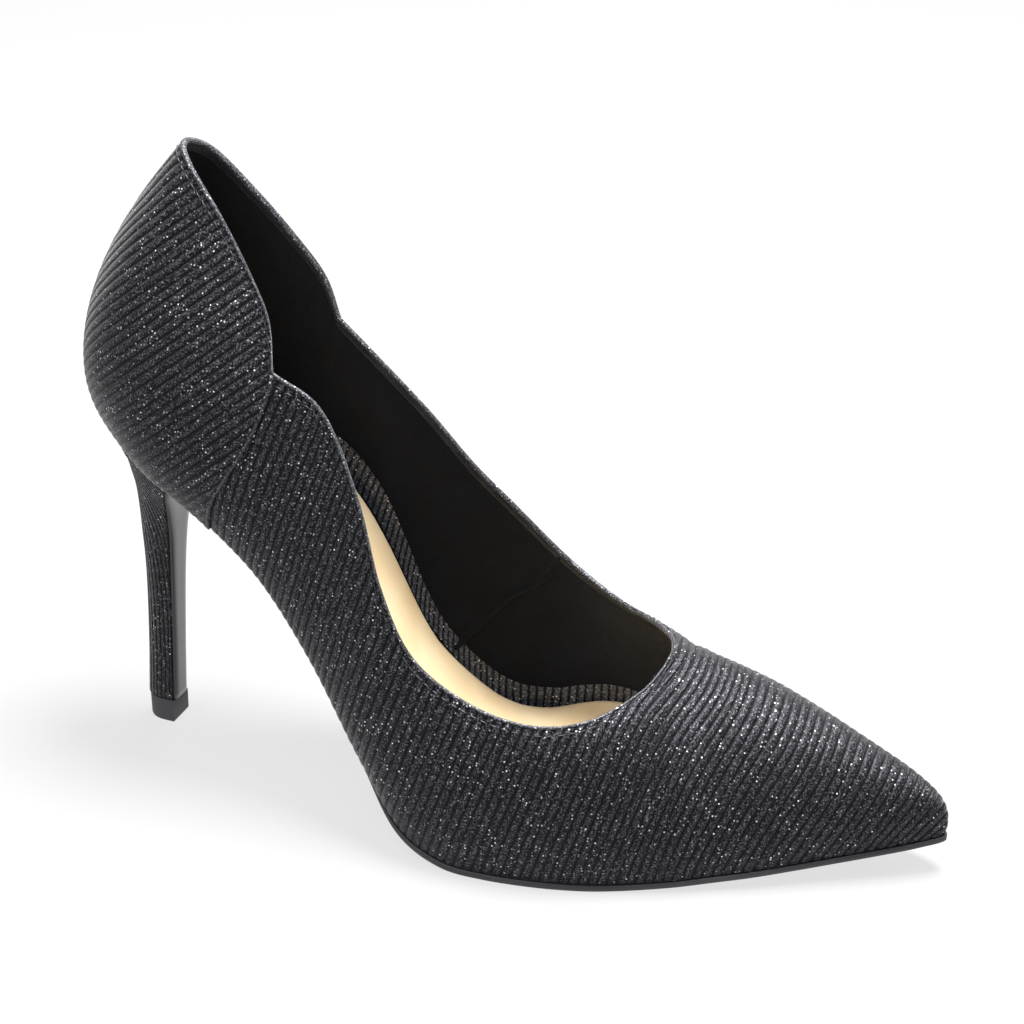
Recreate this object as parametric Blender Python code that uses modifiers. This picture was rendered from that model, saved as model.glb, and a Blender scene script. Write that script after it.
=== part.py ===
"""Stiletto pump for the right foot, standing empty on its heel tip and forefoot.

The shoe is laid out along +X towards the toe, with +Y on the inner (medial) side of the
foot and +Z up. All sizes below are in millimetres and become metres when a mesh is made.
The upper is one hollow wall. Each of its sections is a curve that starts at the feather
edge, where upper and sole meet, and ends at the topline or, ahead of the throat, at the
ridge of the vamp. The sole, the insole and the heel take their outlines from the same
feather edge.
"""

import math
from typing import NamedTuple

import bmesh
import bpy
from mathutils import Vector

MM = 0.001

# Driving dimensions of the finished shoe
LENGTH = 224.0          # back of the counter to the tip of the toe
BALL_WIDTH = 78.8       # between the feather edges across the ball
SEAT_HEIGHT = 84.2      # feather edge above the floor at the back of the heel
UPPER_WALL = 1.6        # fabric, stiffener and lining together
COUNTER_STEP = 0.7      # folded edge of the counter panel over the quarters
SOLE_THICKNESS = 1.6
INSOLE_THICKNESS = 2.4
SEAM_GAP = 0.3          # clearance between pieces that lie on each other
SOLE_WELT = 0.6         # how far the sole stands out under the forefoot
WAIST_INSET = 2.4       # how far the sole is tucked in under the waist
HEEL_INSET = 0.2
TOP_PIECE_HEIGHT = 5.9
BREAST_THICKNESS = 0.9

# The base last on which the tables are drawn; the driving dimensions stretch it.
BASE_LENGTH = 224.0
BASE_BALL_WIDTH = 78.8
BASE_SEAT_HEIGHT = 84.2

LATERAL = -1
MEDIAL = 1


class Feather(NamedTuple):
    """One section's feather edge: place along the shoe, both half widths and height.

    twist is how much higher the edge lies on the medial side, under the arch of the foot.
    """

    along: float
    lateral: float
    medial: float
    rise: float
    twist: float = 0.0


class Top(NamedTuple):
    """Where one section ends at the topline: place along, half width and height."""

    along: float
    out: float
    rise: float


class Belly(NamedTuple):
    """Handles that round one section's wall, out from and along the line it starts on.

    low_out and low_up lead away from the feather edge, high_out and high_down lead to the
    topline or ridge, and fall tips the upper handle along the slope of the vamp.
    """

    low_out: float
    low_up: float
    high_out: float
    high_down: float
    fall: float


class Curl(NamedTuple):
    """How the insole lies at a section: its inset and the rise of its two edges."""

    place: float
    inset: float
    lateral: float
    medial: float


class HeelRow(NamedTuple):
    """One section of the heel: heights at its back and breast, its ends and half width."""

    rise_back: float
    rise_breast: float
    back: float
    breast: float
    half_width: float


FEATHER = (
    Feather(8.3, 0.0, 0.0, 84.2),
    Feather(10.1, 8.8, 8.8, 83.6),
    Feather(17.0, 16.0, 16.0, 81.3),
    Feather(26.0, 20.2, 20.2, 76.6),
    Feather(35.0, 20.9, 21.0, 71.8, 1.2),
    Feather(43.0, 21.4, 21.6, 66.8, 3.2),
    Feather(57.0, 23.0, 22.6, 56.3, 5.0),
    Feather(72.0, 26.5, 23.2, 40.0, 3.6),
    Feather(87.0, 31.9, 26.6, 21.2, 0.4),
    Feather(100.0, 37.0, 32.8, 7.6),
    Feather(112.0, 39.6, 38.0, 2.6),
    Feather(124.0, 39.4, 39.4, 1.9),
    Feather(136.0, 37.3, 38.0, 1.9),
    Feather(146.0, 34.2, 36.0, 1.9),
    Feather(154.5, 30.6, 33.9, 2.2),
    Feather(165.0, 25.6, 30.9, 3.0),
    Feather(174.0, 20.5, 28.2, 3.9),
    Feather(182.5, 15.4, 25.5, 4.7),
    Feather(191.0, 9.7, 23.0, 5.6),
    Feather(200.0, 3.7, 20.5, 6.7),
    Feather(209.0, -2.2, 18.3, 7.9),
    Feather(216.8, -7.4, 16.6, 9.1),
    Feather(222.4, -12.6, 12.6, 10.0),
)

COUNTER_TOP = (
    Top(25.0, 0.0, 154.3),
    Top(29.0, 6.1, 151.3),
    Top(38.8, 9.8, 141.0),
    Top(47.2, 13.0, 130.8),
    Top(54.2, 16.2, 120.5),
    Top(57.2, 20.0, 109.2),
)

LATERAL_TOP = (
    Top(57.2, 20.0, 109.2),
    Top(70.0, 20.5, 102.2),
    Top(81.5, 25.0, 84.2),
    Top(90.2, 29.5, 64.4),
    Top(100.2, 32.4, 49.9),
    Top(115.5, 34.2, 42.5),
    Top(130.5, 33.3, 40.1),
    Top(142.2, 27.6, 41.4),
    Top(150.4, 18.2, 45.4),
    Top(153.7, 9.8, 48.3),
    Top(153.9, -1.0, 49.6),
)

MEDIAL_TOP = (
    Top(57.2, 20.0, 109.2),
    Top(68.0, 21.2, 99.7),
    Top(80.5, 24.0, 87.3),
    Top(92.1, 27.0, 74.1),
    Top(103.0, 29.5, 63.8),
    Top(115.0, 32.5, 52.3),
    Top(124.5, 31.0, 47.2),
    Top(134.5, 25.0, 46.0),
    Top(144.0, 16.5, 47.8),
    Top(151.4, 7.5, 49.3),
    Top(153.9, 1.0, 49.6),
)

# The ridge of the vamp, as half widths on the medial side
RIDGE = (
    Top(153.9, 1.0, 49.6),
    Top(163.0, 2.6, 47.6),
    Top(175.0, 4.4, 43.8),
    Top(187.0, 6.2, 38.6),
    Top(197.0, 7.9, 33.5),
    Top(205.0, 9.4, 29.2),
    Top(211.5, 10.6, 25.6),
    Top(216.6, 11.6, 21.9),
)

BELLY = (
    Belly(9.0, 10.0, 31.8, 41.0, 0.0),
    Belly(9.0, 10.0, 27.5, 39.0, 0.0),
    Belly(9.0, 11.0, 21.0, 34.0, 0.0),
    Belly(8.5, 12.0, 15.0, 28.0, 0.0),
    Belly(8.0, 12.0, 11.0, 24.0, 0.0),
    Belly(7.0, 12.0, 7.0, 20.0, 0.0),
    Belly(6.0, 13.0, 4.0, 16.0, 0.0),
    Belly(5.0, 12.0, 3.0, 15.0, 0.0),
    Belly(4.5, 11.0, 4.0, 13.0, 0.0),
    Belly(4.0, 10.0, 5.0, 11.0, 0.0),
    Belly(3.5, 10.0, 6.0, 10.0, 0.0),
    Belly(3.0, 10.0, 7.0, 9.0, 0.0),
    Belly(3.0, 10.0, 9.0, 7.0, 0.0),
    Belly(3.0, 11.0, 12.5, 5.0, 0.1),
    Belly(3.0, 12.0, 18.5, 3.6, 0.15),
    Belly(3.0, 12.0, 26.5, 2.6, 0.2),
    Belly(2.6, 12.0, 20.5, 1.5, 0.25),
    Belly(2.5, 12.0, 17.5, 1.0, 0.36),
    Belly(2.2, 11.5, 14.5, 0.8, 0.44),
    Belly(2.0, 10.5, 11.5, 0.6, 0.47),
    Belly(1.8, 9.5, 8.8, 0.5, 0.48),
    Belly(1.3, 8.0, 6.3, 0.4, 0.5),
    Belly(1.0, 6.5, 4.6, 0.3, 0.5),
)

HEEL = (
    HeelRow(81.6, 75.2, 10.1, 28.0, 17.4),
    HeelRow(77.0, 71.0, 11.7, 26.6, 13.4),
    HeelRow(72.0, 66.5, 12.9, 25.4, 11.0),
    HeelRow(66.8, 62.5, 13.8, 24.6, 8.6),
    HeelRow(61.0, 58.0, 14.4, 24.2, 6.8),
    HeelRow(53.0, 51.5, 15.1, 24.1, 5.3),
    HeelRow(40.0, 39.5, 16.4, 24.2, 4.4),
    HeelRow(22.0, 22.0, 17.2, 24.7, 3.9),
    HeelRow(6.2, 6.2, 17.5, 25.2, 3.8),
)

TOP_PIECE = (
    HeelRow(TOP_PIECE_HEIGHT, TOP_PIECE_HEIGHT, 17.8, 25.9, 4.1),
    HeelRow(0.0, 0.0, 18.3, 26.2, 4.2),
)

# The insole curls up along the arch and along the inner side of the ball.
INSOLE_EDGE = (
    Curl(0.0, 2.2, 0.0, 0.0),
    Curl(1.5, 2.2, 1.4, 1.4),
    Curl(4.0, 2.2, 1.5, 2.5),
    Curl(6.6, 2.2, 1.5, 7.4),
    Curl(8.0, 3.4, 1.5, 0.0),
    Curl(9.4, 3.4, 1.5, 0.2),
    Curl(12.0, 2.2, 1.5, 8.0),
    Curl(15.5, 2.2, 1.5, 3.0),
    Curl(20.6, 2.2, 0.5, 0.5),
)

# Section numbers that matter, counted along the FEATHER table
COUNTER_SEAM = 5
THROAT = 15
THROAT_EASE = 2.0
TOE = len(FEATHER) - 1
HEEL_FRONT = 3.1        # the heel's seat ends here
BREAST = 3.42           # the sole ends here, just ahead of the heel
WAIST_END = 7.0         # the sole comes out from under the upper between these two
BALL = 9.2
INSOLE_FRONT = INSOLE_EDGE[-1].place
FLAT_RISE = FEATHER[11].rise

STATIONS_PER_SECTION = 2
ROUND_STATIONS = 4      # finer round the heel, the throat and the tip of the toe
ROUND_SPANS = ((0, 2), (THROAT - 1, THROAT + 1), (TOE - 2, TOE))
WALL_STEPS = 10
SOLE_STEPS = 8
HEEL_ARC_STEPS = 14
HEEL_ROWS_PER_SECTION = 2
WELD_REACH = 0.01
STEP_RUN = 0.03         # share of a section over which the counter's edge steps down


def spline(before, rows, after, place):
    """Read a smooth curve through rows of numbers at a place counted in rows."""
    padded = (before,) + tuple(rows) + (after,)
    index = min(int(place), len(rows) - 2)
    t = place - index
    p0, p1, p2, p3 = padded[index:index + 4]
    values = []
    for a, b, c, d in zip(p0, p1, p2, p3):
        slope_1 = 0.5 * (c - a)
        slope_2 = 0.5 * (d - b)
        value = (
            (2 * t ** 3 - 3 * t ** 2 + 1) * b
            + (t ** 3 - 2 * t ** 2 + t) * slope_1
            + (3 * t ** 2 - 2 * t ** 3) * c
            + (t ** 3 - t ** 2) * slope_2
        )
        values.append(value)
    return values


def mirrored(first, second):
    """Carry a row of numbers straight on past an end of its table."""
    return tuple(2 * a - b for a, b in zip(first, second))


def open_spline(rows, place):
    """Read a smooth curve whose two ends run straight on."""
    before = mirrored(rows[0], rows[1])
    after = mirrored(rows[-1], rows[-2])
    return spline(before, rows, after, place)


def smooth(t):
    """Ease a share from 0 to 1 with level ends."""
    return t * t * (3 - 2 * t)


def curl_at(place):
    """Read how the insole lies at a section, easing from each row to the next."""
    for row, following in zip(INSOLE_EDGE, INSOLE_EDGE[1:]):
        if place <= following.place:
            share = smooth((place - row.place) / (following.place - row.place))
            return Curl(*(a + (b - a) * share for a, b in zip(row, following)))
    return INSOLE_EDGE[-1]


def stretched(along, across, rise):
    """Move a point from the base last to a last of the driving dimensions."""
    return Vector((
        along * LENGTH / BASE_LENGTH,
        across * BALL_WIDTH / BASE_BALL_WIDTH,
        rise * SEAT_HEIGHT / BASE_SEAT_HEIGHT,
    ))


def feather_rows(side):
    """List the feather edge of one side as points from the heel to the toe."""
    rows = []
    for row in FEATHER:
        if side == MEDIAL:
            rows.append((row.along, row.medial, row.rise + row.twist))
        else:
            rows.append((row.along, -row.lateral, row.rise))
    return rows


def feather_point(side, place):
    """Find the feather edge at a section; it runs on round the heel and the toe."""
    rows = feather_rows(side)
    others = feather_rows(-side)
    along, across, rise = spline(others[1], rows, others[-2], place)
    return stretched(along, across, max(rise, FLAT_RISE))


def outward(side, place):
    """Give the level direction in which the wall faces at a section."""
    reach = 0.05
    if place <= 0:
        return Vector((-1.0, 0.0, 0.0))
    start = feather_point(side, max(place - reach, 0))
    end = feather_point(side, min(place + reach, TOE))
    run = end - start
    if place >= TOE:
        run = feather_point(MEDIAL, TOE - reach) - feather_point(LATERAL, TOE - reach)
        return Vector((run.y, -run.x, 0.0)).normalized()
    return Vector((-side * run.y, side * run.x, 0.0)).normalized()


def slowed(place):
    """Slow the topline down into the throat and the ridge out of it.

    The two lines meet there at a right angle, and the surface stays smooth across the
    throat's section because neither moves on as it passes.
    """
    share = 1.0 - abs(place - THROAT) / THROAT_EASE
    if share <= 0.0:
        return place
    travel = THROAT_EASE * (1.0 - share * (1.0 + share - share * share))
    return THROAT + math.copysign(travel, place - THROAT)


def top_point(side, place):
    """Find the topline or, ahead of the throat, the ridge at a section."""
    place = slowed(place)
    if place <= COUNTER_SEAM:
        before = (COUNTER_TOP[1].along, -COUNTER_TOP[1].out, COUNTER_TOP[1].rise)
        after = mirrored(COUNTER_TOP[-1], COUNTER_TOP[-2])
        along, out, rise = spline(before, COUNTER_TOP, after, place)
    elif place <= THROAT:
        rows = MEDIAL_TOP if side == MEDIAL else LATERAL_TOP
        along, out, rise = open_spline(rows, place - COUNTER_SEAM)
    else:
        along, out, rise = open_spline(RIDGE, place - THROAT)
        out *= side
    return stretched(along, side * out, rise)


def wall_point(side, place, height):
    """Find a point on the outside of the upper.

    place counts sections from the heel to the toe, and height runs from 0 at the feather
    edge to 1 at the topline or ridge.
    """
    belly = Belly(*open_spline(BELLY, place))
    out = outward(side, place)
    foot = feather_point(side, place)
    head = top_point(side, place)
    low = foot + out * belly.low_out + Vector((0.0, 0.0, belly.low_up))
    drop = belly.high_down + belly.fall * belly.high_out * out.x
    high = head + out * belly.high_out - Vector((0.0, 0.0, drop))
    rest = 1.0 - height
    point = (
        foot * rest ** 3
        + low * 3 * rest ** 2 * height
        + high * 3 * rest * height ** 2
        + head * height ** 3
    )
    if place < COUNTER_SEAM:
        point += out * COUNTER_STEP
    return point


def weld(bm):
    """Join points that coincide and turn the faces of a closed solid outwards."""
    bmesh.ops.remove_doubles(bm, verts=bm.verts, dist=WELD_REACH)
    bmesh.ops.recalc_face_normals(bm, faces=bm.faces)


def new_object(name, bm, material, parent):
    """Make a smooth named object from a bmesh in millimetres."""
    bmesh.ops.scale(bm, vec=(MM, MM, MM), verts=bm.verts)
    mesh = bpy.data.meshes.new(name)
    bm.to_mesh(mesh)
    bm.free()
    mesh.materials.append(material)
    mesh.shade_smooth()
    mesh.set_sharp_from_angle(angle=math.radians(35))
    obj = bpy.data.objects.new(name, mesh)
    obj.parent = parent
    bpy.data.collections["stiletto_pump"].objects.link(obj)
    return obj


def new_material(name, colour, roughness, metallic=0.0):
    """Make a plain Principled material."""
    material = bpy.data.materials.new(name)
    material.use_nodes = True
    shader = material.node_tree.nodes["Principled BSDF"]
    shader.inputs["Base Color"].default_value = (*colour, 1.0)
    shader.inputs["Roughness"].default_value = roughness
    shader.inputs["Metallic"].default_value = metallic
    return material


def add_grid(bm, rows, closed=False):
    """Add a sheet of faces through rows of points, optionally joining last row to first."""
    grid = [[bm.verts.new(point) for point in row] for row in rows]
    if closed:
        grid.append(grid[0])
    for row, next_row in zip(grid, grid[1:]):
        for j in range(len(row) - 1):
            bm.faces.new((row[j], next_row[j], next_row[j + 1], row[j + 1]))
    return grid


def stations():
    """List the places along the upper, with the counter's edge as a short step."""
    places = {COUNTER_SEAM - STEP_RUN}
    places.update(i / STATIONS_PER_SECTION for i in range(TOE * STATIONS_PER_SECTION + 1))
    for first, last in ROUND_SPANS:
        places.update(spread(first, last, (last - first) * ROUND_STATIONS + 1))
    return sorted(places)


def build_upper(material, parent):
    """Make the upper: an open surface round the last, thickened inwards."""
    heights = [j / WALL_STEPS for j in range(WALL_STEPS + 1)]
    places = stations()
    loop = [(LATERAL, place) for place in places]
    loop += [(MEDIAL, place) for place in reversed(places[1:-1])]
    rows = [[wall_point(side, place, height) for height in heights] for side, place in loop]
    bm = bmesh.new()
    add_grid(bm, rows, closed=True)
    bmesh.ops.remove_doubles(bm, verts=bm.verts, dist=WELD_REACH)
    upper = new_object("upper", bm, material, parent)
    shell = upper.modifiers.new("wall", "SOLIDIFY")
    shell.thickness = UPPER_WALL * MM
    shell.offset = -1.0
    return upper


def slab(bm, edges, rims, lift, thickness):
    """Add a closed slab between pairs of edge points, across the shoe.

    rims says how far each pair's two edges curl up above the middle, lift raises the
    lower face above the edge points, and thickness is straight up.
    """
    under = []
    over = []
    for (left, right), (left_rim, right_rim) in zip(edges, rims):
        low_row = []
        high_row = []
        for j in range(SOLE_STEPS + 1):
            share = j / SOLE_STEPS
            rim = left_rim if share < 0.5 else right_rim
            rise = lift + rim * (2 * share - 1) ** 2
            point = left.lerp(right, share) + Vector((0.0, 0.0, rise))
            low_row.append(point)
            high_row.append(point + Vector((0.0, 0.0, thickness)))
        under.append(low_row)
        over.append(high_row[::-1])
    add_grid(bm, [low + high + low[:1] for low, high in zip(under, over)])
    for low, high in ((under[0], over[0]), (under[-1], over[-1])):
        add_grid(bm, (low, high[::-1]))
    weld(bm)


def inset_pair(place, inset):
    """Give the lateral and medial feather edges of a section, moved inwards."""
    pair = []
    for side in (LATERAL, MEDIAL):
        pair.append(feather_point(side, place) - outward(side, place) * inset)
    return pair


def sole_inset(place):
    """Say how far the sole is tucked in: under the waist, but out at the forefoot."""
    share = min(max((place - WAIST_END) / (BALL - WAIST_END), 0.0), 1.0)
    return WAIST_INSET - (SOLE_WELT + WAIST_INSET) * smooth(share)


def spread(first, last, count):
    """List count places evenly from first to last."""
    return [first + (last - first) * i / (count - 1) for i in range(count)]


def build_outsole(material, parent):
    """Make the thin sole from the heel's breast to the toe, with its flat under the ball."""
    count = int((TOE - BREAST) * STATIONS_PER_SECTION)
    edges = [inset_pair(place, sole_inset(place)) for place in spread(BREAST, TOE, count)]
    bm = bmesh.new()
    flat = [(0.0, 0.0)] * count
    slab(bm, edges, flat, -SEAM_GAP - SOLE_THICKNESS, SOLE_THICKNESS)
    return new_object("outsole", bm, material, parent)


def build_insole(material, parent):
    """Make the insole that closes the upper from inside, curled up along its edges."""
    count = int(INSOLE_FRONT * STATIONS_PER_SECTION)
    edges = []
    rims = []
    for place in spread(0.0, INSOLE_FRONT, count):
        curl = curl_at(place)
        edges.append(inset_pair(place, curl.inset))
        rims.append((curl.lateral, curl.medial))
    bm = bmesh.new()
    slab(bm, edges, rims, 0.0, INSOLE_THICKNESS)
    return new_object("insole", bm, material, parent)


def d_outline(row):
    """List a D-shaped section: round at the back, flat at the breast."""
    corner = 0.62
    centre = row.back + corner * (row.breast - row.back)
    points = [stretched(row.breast, LATERAL * row.half_width, row.rise_breast)]
    for i in range(HEEL_ARC_STEPS + 1):
        angle = math.pi * (i / HEEL_ARC_STEPS - 0.5)
        along = centre - (centre - row.back) * math.cos(angle)
        share = (along - row.back) / (row.breast - row.back)
        rise = row.rise_back + share * (row.rise_breast - row.rise_back)
        points.append(stretched(along, row.half_width * math.sin(angle), rise))
    points.append(stretched(row.breast, MEDIAL * row.half_width, row.rise_breast))
    return points


def seat_outline():
    """List the top of the heel, just inside the feather edge and just below it."""
    points = []
    for place in spread(-HEEL_FRONT, HEEL_FRONT, HEEL_ARC_STEPS + 3):
        side = MEDIAL if place > 0 else LATERAL
        depth = abs(place)
        point = feather_point(side, depth) - outward(side, depth) * HEEL_INSET
        points.append(point - Vector((0.0, 0.0, SEAM_GAP)))
    return points


def heel_rows():
    """Read the heel table finely, from the seat to the tip."""
    count = (len(HEEL) - 1) * HEEL_ROWS_PER_SECTION + 1
    return [HeelRow(*open_spline(HEEL, place)) for place in spread(0, len(HEEL) - 1, count)]


def loft(bm, outlines):
    """Add a closed solid through outlines, first on top and last at the bottom."""
    rings = [outline + [outline[0]] for outline in outlines]
    add_grid(bm, rings)
    for outline in (outlines[0], outlines[-1]):
        bm.faces.new([bm.verts.new(point) for point in outline])
    weld(bm)


def build_heel(material, parent):
    """Make the slim covered heel, flared to a cup under the seat."""
    outlines = [seat_outline()]
    outlines += [d_outline(row) for row in heel_rows()[1:]]
    bm = bmesh.new()
    loft(bm, outlines)
    return new_object("heel", bm, material, parent)


def build_top_piece(material, parent):
    """Make the D-shaped top piece that the heel stands on."""
    bm = bmesh.new()
    loft(bm, [d_outline(row) for row in TOP_PIECE])
    return new_object("top_piece", bm, material, parent)


def build_breast_cover(material, parent):
    """Make the thin glossy cover on the front of the heel."""
    across = (-1.0, -0.5, 0.0, 0.5, 1.0)
    margin = 0.3
    rows = []
    for row in heel_rows():
        reach = row.half_width - margin
        front = row.breast + SEAM_GAP
        rows.append([stretched(front, reach * share, row.rise_breast) for share in across])
    bm = bmesh.new()
    add_grid(bm, rows)
    cover = new_object("breast_cover", bm, material, parent)
    sheet = cover.modifiers.new("sheet", "SOLIDIFY")
    sheet.thickness = BREAST_THICKNESS * MM
    sheet.offset = 1.0
    return cover


def centre_on_floor(pieces, root):
    """Put the shared origin at the middle of the shoe's box, on the floor."""
    depsgraph = bpy.context.evaluated_depsgraph_get()
    corners = []
    for piece in pieces:
        evaluated = piece.evaluated_get(depsgraph)
        corners += [vertex.co.copy() for vertex in evaluated.to_mesh().vertices]
        evaluated.to_mesh_clear()
    for axis in (0, 1):
        values = [corner[axis] for corner in corners]
        root.location[axis] = -0.5 * (min(values) + max(values))


def main():
    """Clear the scene and build the shoe."""
    for obj in list(bpy.data.objects):
        bpy.data.objects.remove(obj, do_unlink=True)
    shoe = bpy.data.collections.new("stiletto_pump")
    bpy.context.scene.collection.children.link(shoe)
    root = bpy.data.objects.new("shoe_origin", None)
    shoe.objects.link(root)
    fabric = new_material("ribbed_metallic_fabric", (0.024, 0.025, 0.029), 0.5, 0.3)
    heel_fabric = new_material("heel_cover_fabric", (0.022, 0.023, 0.027), 0.5, 0.3)
    sole_leather = new_material("sole_leather", (0.012, 0.012, 0.013), 0.45)
    breast_gloss = new_material("glossy_breast_leather", (0.02, 0.02, 0.023), 0.15)
    sock = new_material("insole_leather", (0.72, 0.59, 0.41), 0.6)
    rubber = new_material("top_piece_rubber", (0.09, 0.09, 0.1), 0.6)
    pieces = [
        build_upper(fabric, root),
        build_outsole(sole_leather, root),
        build_insole(sock, root),
        build_heel(heel_fabric, root),
        build_breast_cover(breast_gloss, root),
        build_top_piece(rubber, root),
    ]
    centre_on_floor(pieces, root)


main()
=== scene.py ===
"""Looks of a stiletto pump for the right foot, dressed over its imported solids.

The shoe is covered in a black ribbed fabric with silver thread. Each panel is a mesh whose
columns follow the ribs of the cloth, so the ribs are real relief. Sizes are in millimetres
on the base last, which lies along +X towards the toe with +Y on the inner side of the foot,
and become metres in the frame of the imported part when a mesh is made.
"""

from __future__ import annotations

import logging
import math
from dataclasses import dataclass, field
from enum import Enum
from typing import Callable, Dict, List, Optional, Sequence, Tuple, Union

import bmesh
import bpy
import numpy as np
from mathutils import Matrix, Vector

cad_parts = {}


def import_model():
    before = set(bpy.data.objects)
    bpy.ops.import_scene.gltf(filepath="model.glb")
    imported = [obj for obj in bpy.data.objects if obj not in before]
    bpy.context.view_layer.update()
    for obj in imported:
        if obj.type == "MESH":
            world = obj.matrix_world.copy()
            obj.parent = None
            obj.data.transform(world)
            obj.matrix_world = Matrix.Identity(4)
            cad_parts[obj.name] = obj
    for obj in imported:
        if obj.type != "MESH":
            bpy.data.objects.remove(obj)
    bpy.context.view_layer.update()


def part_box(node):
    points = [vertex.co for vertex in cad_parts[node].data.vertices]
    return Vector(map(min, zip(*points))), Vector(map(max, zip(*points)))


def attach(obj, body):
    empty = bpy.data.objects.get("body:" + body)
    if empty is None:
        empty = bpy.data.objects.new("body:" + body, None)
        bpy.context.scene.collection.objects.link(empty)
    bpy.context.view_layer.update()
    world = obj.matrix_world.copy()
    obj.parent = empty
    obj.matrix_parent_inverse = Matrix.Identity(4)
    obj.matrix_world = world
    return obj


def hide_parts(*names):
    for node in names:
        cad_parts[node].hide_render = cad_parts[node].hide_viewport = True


log = logging.getLogger("stiletto_pump")

MM = 0.001
PHASE = "rib_phase"
# A noise texture keeps most of its values between these two.
CLOUD_LOW = 0.35
CLOUD_HIGH = 0.65
# Phase in the middle of a rib, for cloth pieces too narrow to show a groove.
MID_RIB = 0.5
# Edges shorter than this share of the weld distance are dissolved.
DISSOLVE_SHARE = 0.2
CURVE_SAMPLES = 1500

Array = np.ndarray
PhaseField = Callable[[Array], Array]


class Side(Enum):
    """The two sides of the foot; the value is the sign of Y."""

    LATERAL = -1
    MEDIAL = 1


class Slot(Enum):
    """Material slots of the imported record."""

    FABRIC = "ribbed_metallic_fabric"
    HEEL_FABRIC = "heel_cover_fabric"
    SOLE = "sole_leather"
    BREAST = "glossy_breast_leather"
    INSOLE = "insole_leather"
    RUBBER = "top_piece_rubber"


def linear(code: str) -> Tuple[float, float, float, float]:
    """Turn an sRGB hex code into linear colour.

    Args:
        code: Six hex digits, with or without a leading hash.

    Returns:
        Red, green, blue and an alpha of one.
    """
    digits = code.lstrip("#")
    channels = []
    for start in (0, 2, 4):
        value = int(digits[start:start + 2], 16) / 255.0
        low = value / 12.92
        high = ((value + 0.055) / 1.055) ** 2.4
        channels.append(low if value <= 0.04045 else high)
    return channels[0], channels[1], channels[2], 1.0


def feed(tree: bpy.types.NodeTree, node: bpy.types.Node, inputs: Dict[Union[str, int], object]) -> None:
    """Set or link the input sockets of a node.

    Args:
        tree: The node tree that holds the node.
        node: The node.
        inputs: Socket name or number to a value or to the output that feeds it.
    """
    for socket, value in inputs.items():
        if isinstance(value, bpy.types.NodeSocket):
            tree.links.new(value, node.inputs[socket])
        else:
            node.inputs[socket].default_value = value


def add_node(
    tree: bpy.types.NodeTree,
    kind: str,
    inputs: Optional[Dict[Union[str, int], object]] = None,
    **settings: object,
) -> bpy.types.Node:
    """Add a node with its settings, values and links.

    Args:
        tree: The node tree that takes the node.
        kind: The node's type name.
        inputs: Socket name or number to a value or to the output that feeds it.
        settings: Properties of the node.

    Returns:
        The new node.
    """
    node = tree.nodes.new(kind)
    for name, value in settings.items():
        setattr(node, name, value)
    feed(tree, node, inputs or {})
    return node


def catmull(rows: Array, place: Array) -> Array:
    """Read a smooth curve through a table that has one extra row at either end.

    Args:
        rows: Table of numbers, padded at both ends.
        place: Places counted in rows of the table without its padding.

    Returns:
        One row of numbers for each place.
    """
    place = np.asarray(place, float)
    index = np.clip(np.floor(place).astype(int), 0, len(rows) - 4)
    t = (place - index)[..., None]
    a, b, c, d = (rows[index + k] for k in range(4))
    slope_1 = 0.5 * (c - a)
    slope_2 = 0.5 * (d - b)
    return (
        (2 * t ** 3 - 3 * t ** 2 + 1) * b
        + (t ** 3 - 2 * t ** 2 + t) * slope_1
        + (3 * t ** 2 - 2 * t ** 3) * c
        + (t ** 3 - t ** 2) * slope_2
    )


def open_ended(rows: Sequence[Sequence[float]]) -> Array:
    """Pad a table so that its two ends run straight on."""
    table = np.array(rows, float)
    before = 2 * table[0] - table[1]
    after = 2 * table[-1] - table[-2]
    return np.vstack([before, table, after])


def unit(vectors: Array) -> Array:
    """Scale vectors to length one."""
    length = np.linalg.norm(vectors, axis=-1, keepdims=True)
    return vectors / np.maximum(length, 1e-9)


def eased(t: Array) -> Array:
    """Ease a share from 0 to 1 with level ends."""
    t = np.clip(t, 0.0, 1.0)
    return t * t * (3 - 2 * t)


def run_length(points: Array) -> Array:
    """Measure the distance run along a line of points."""
    steps = np.linalg.norm(np.diff(points, axis=0), axis=1)
    return np.concatenate([[0.0], np.cumsum(steps)])


def rows_at(at: Array, run: Array, rows: Array) -> Array:
    """Read rows of numbers at distances along a run."""
    return np.stack([np.interp(at, run, column) for column in rows.T], 1)


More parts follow.
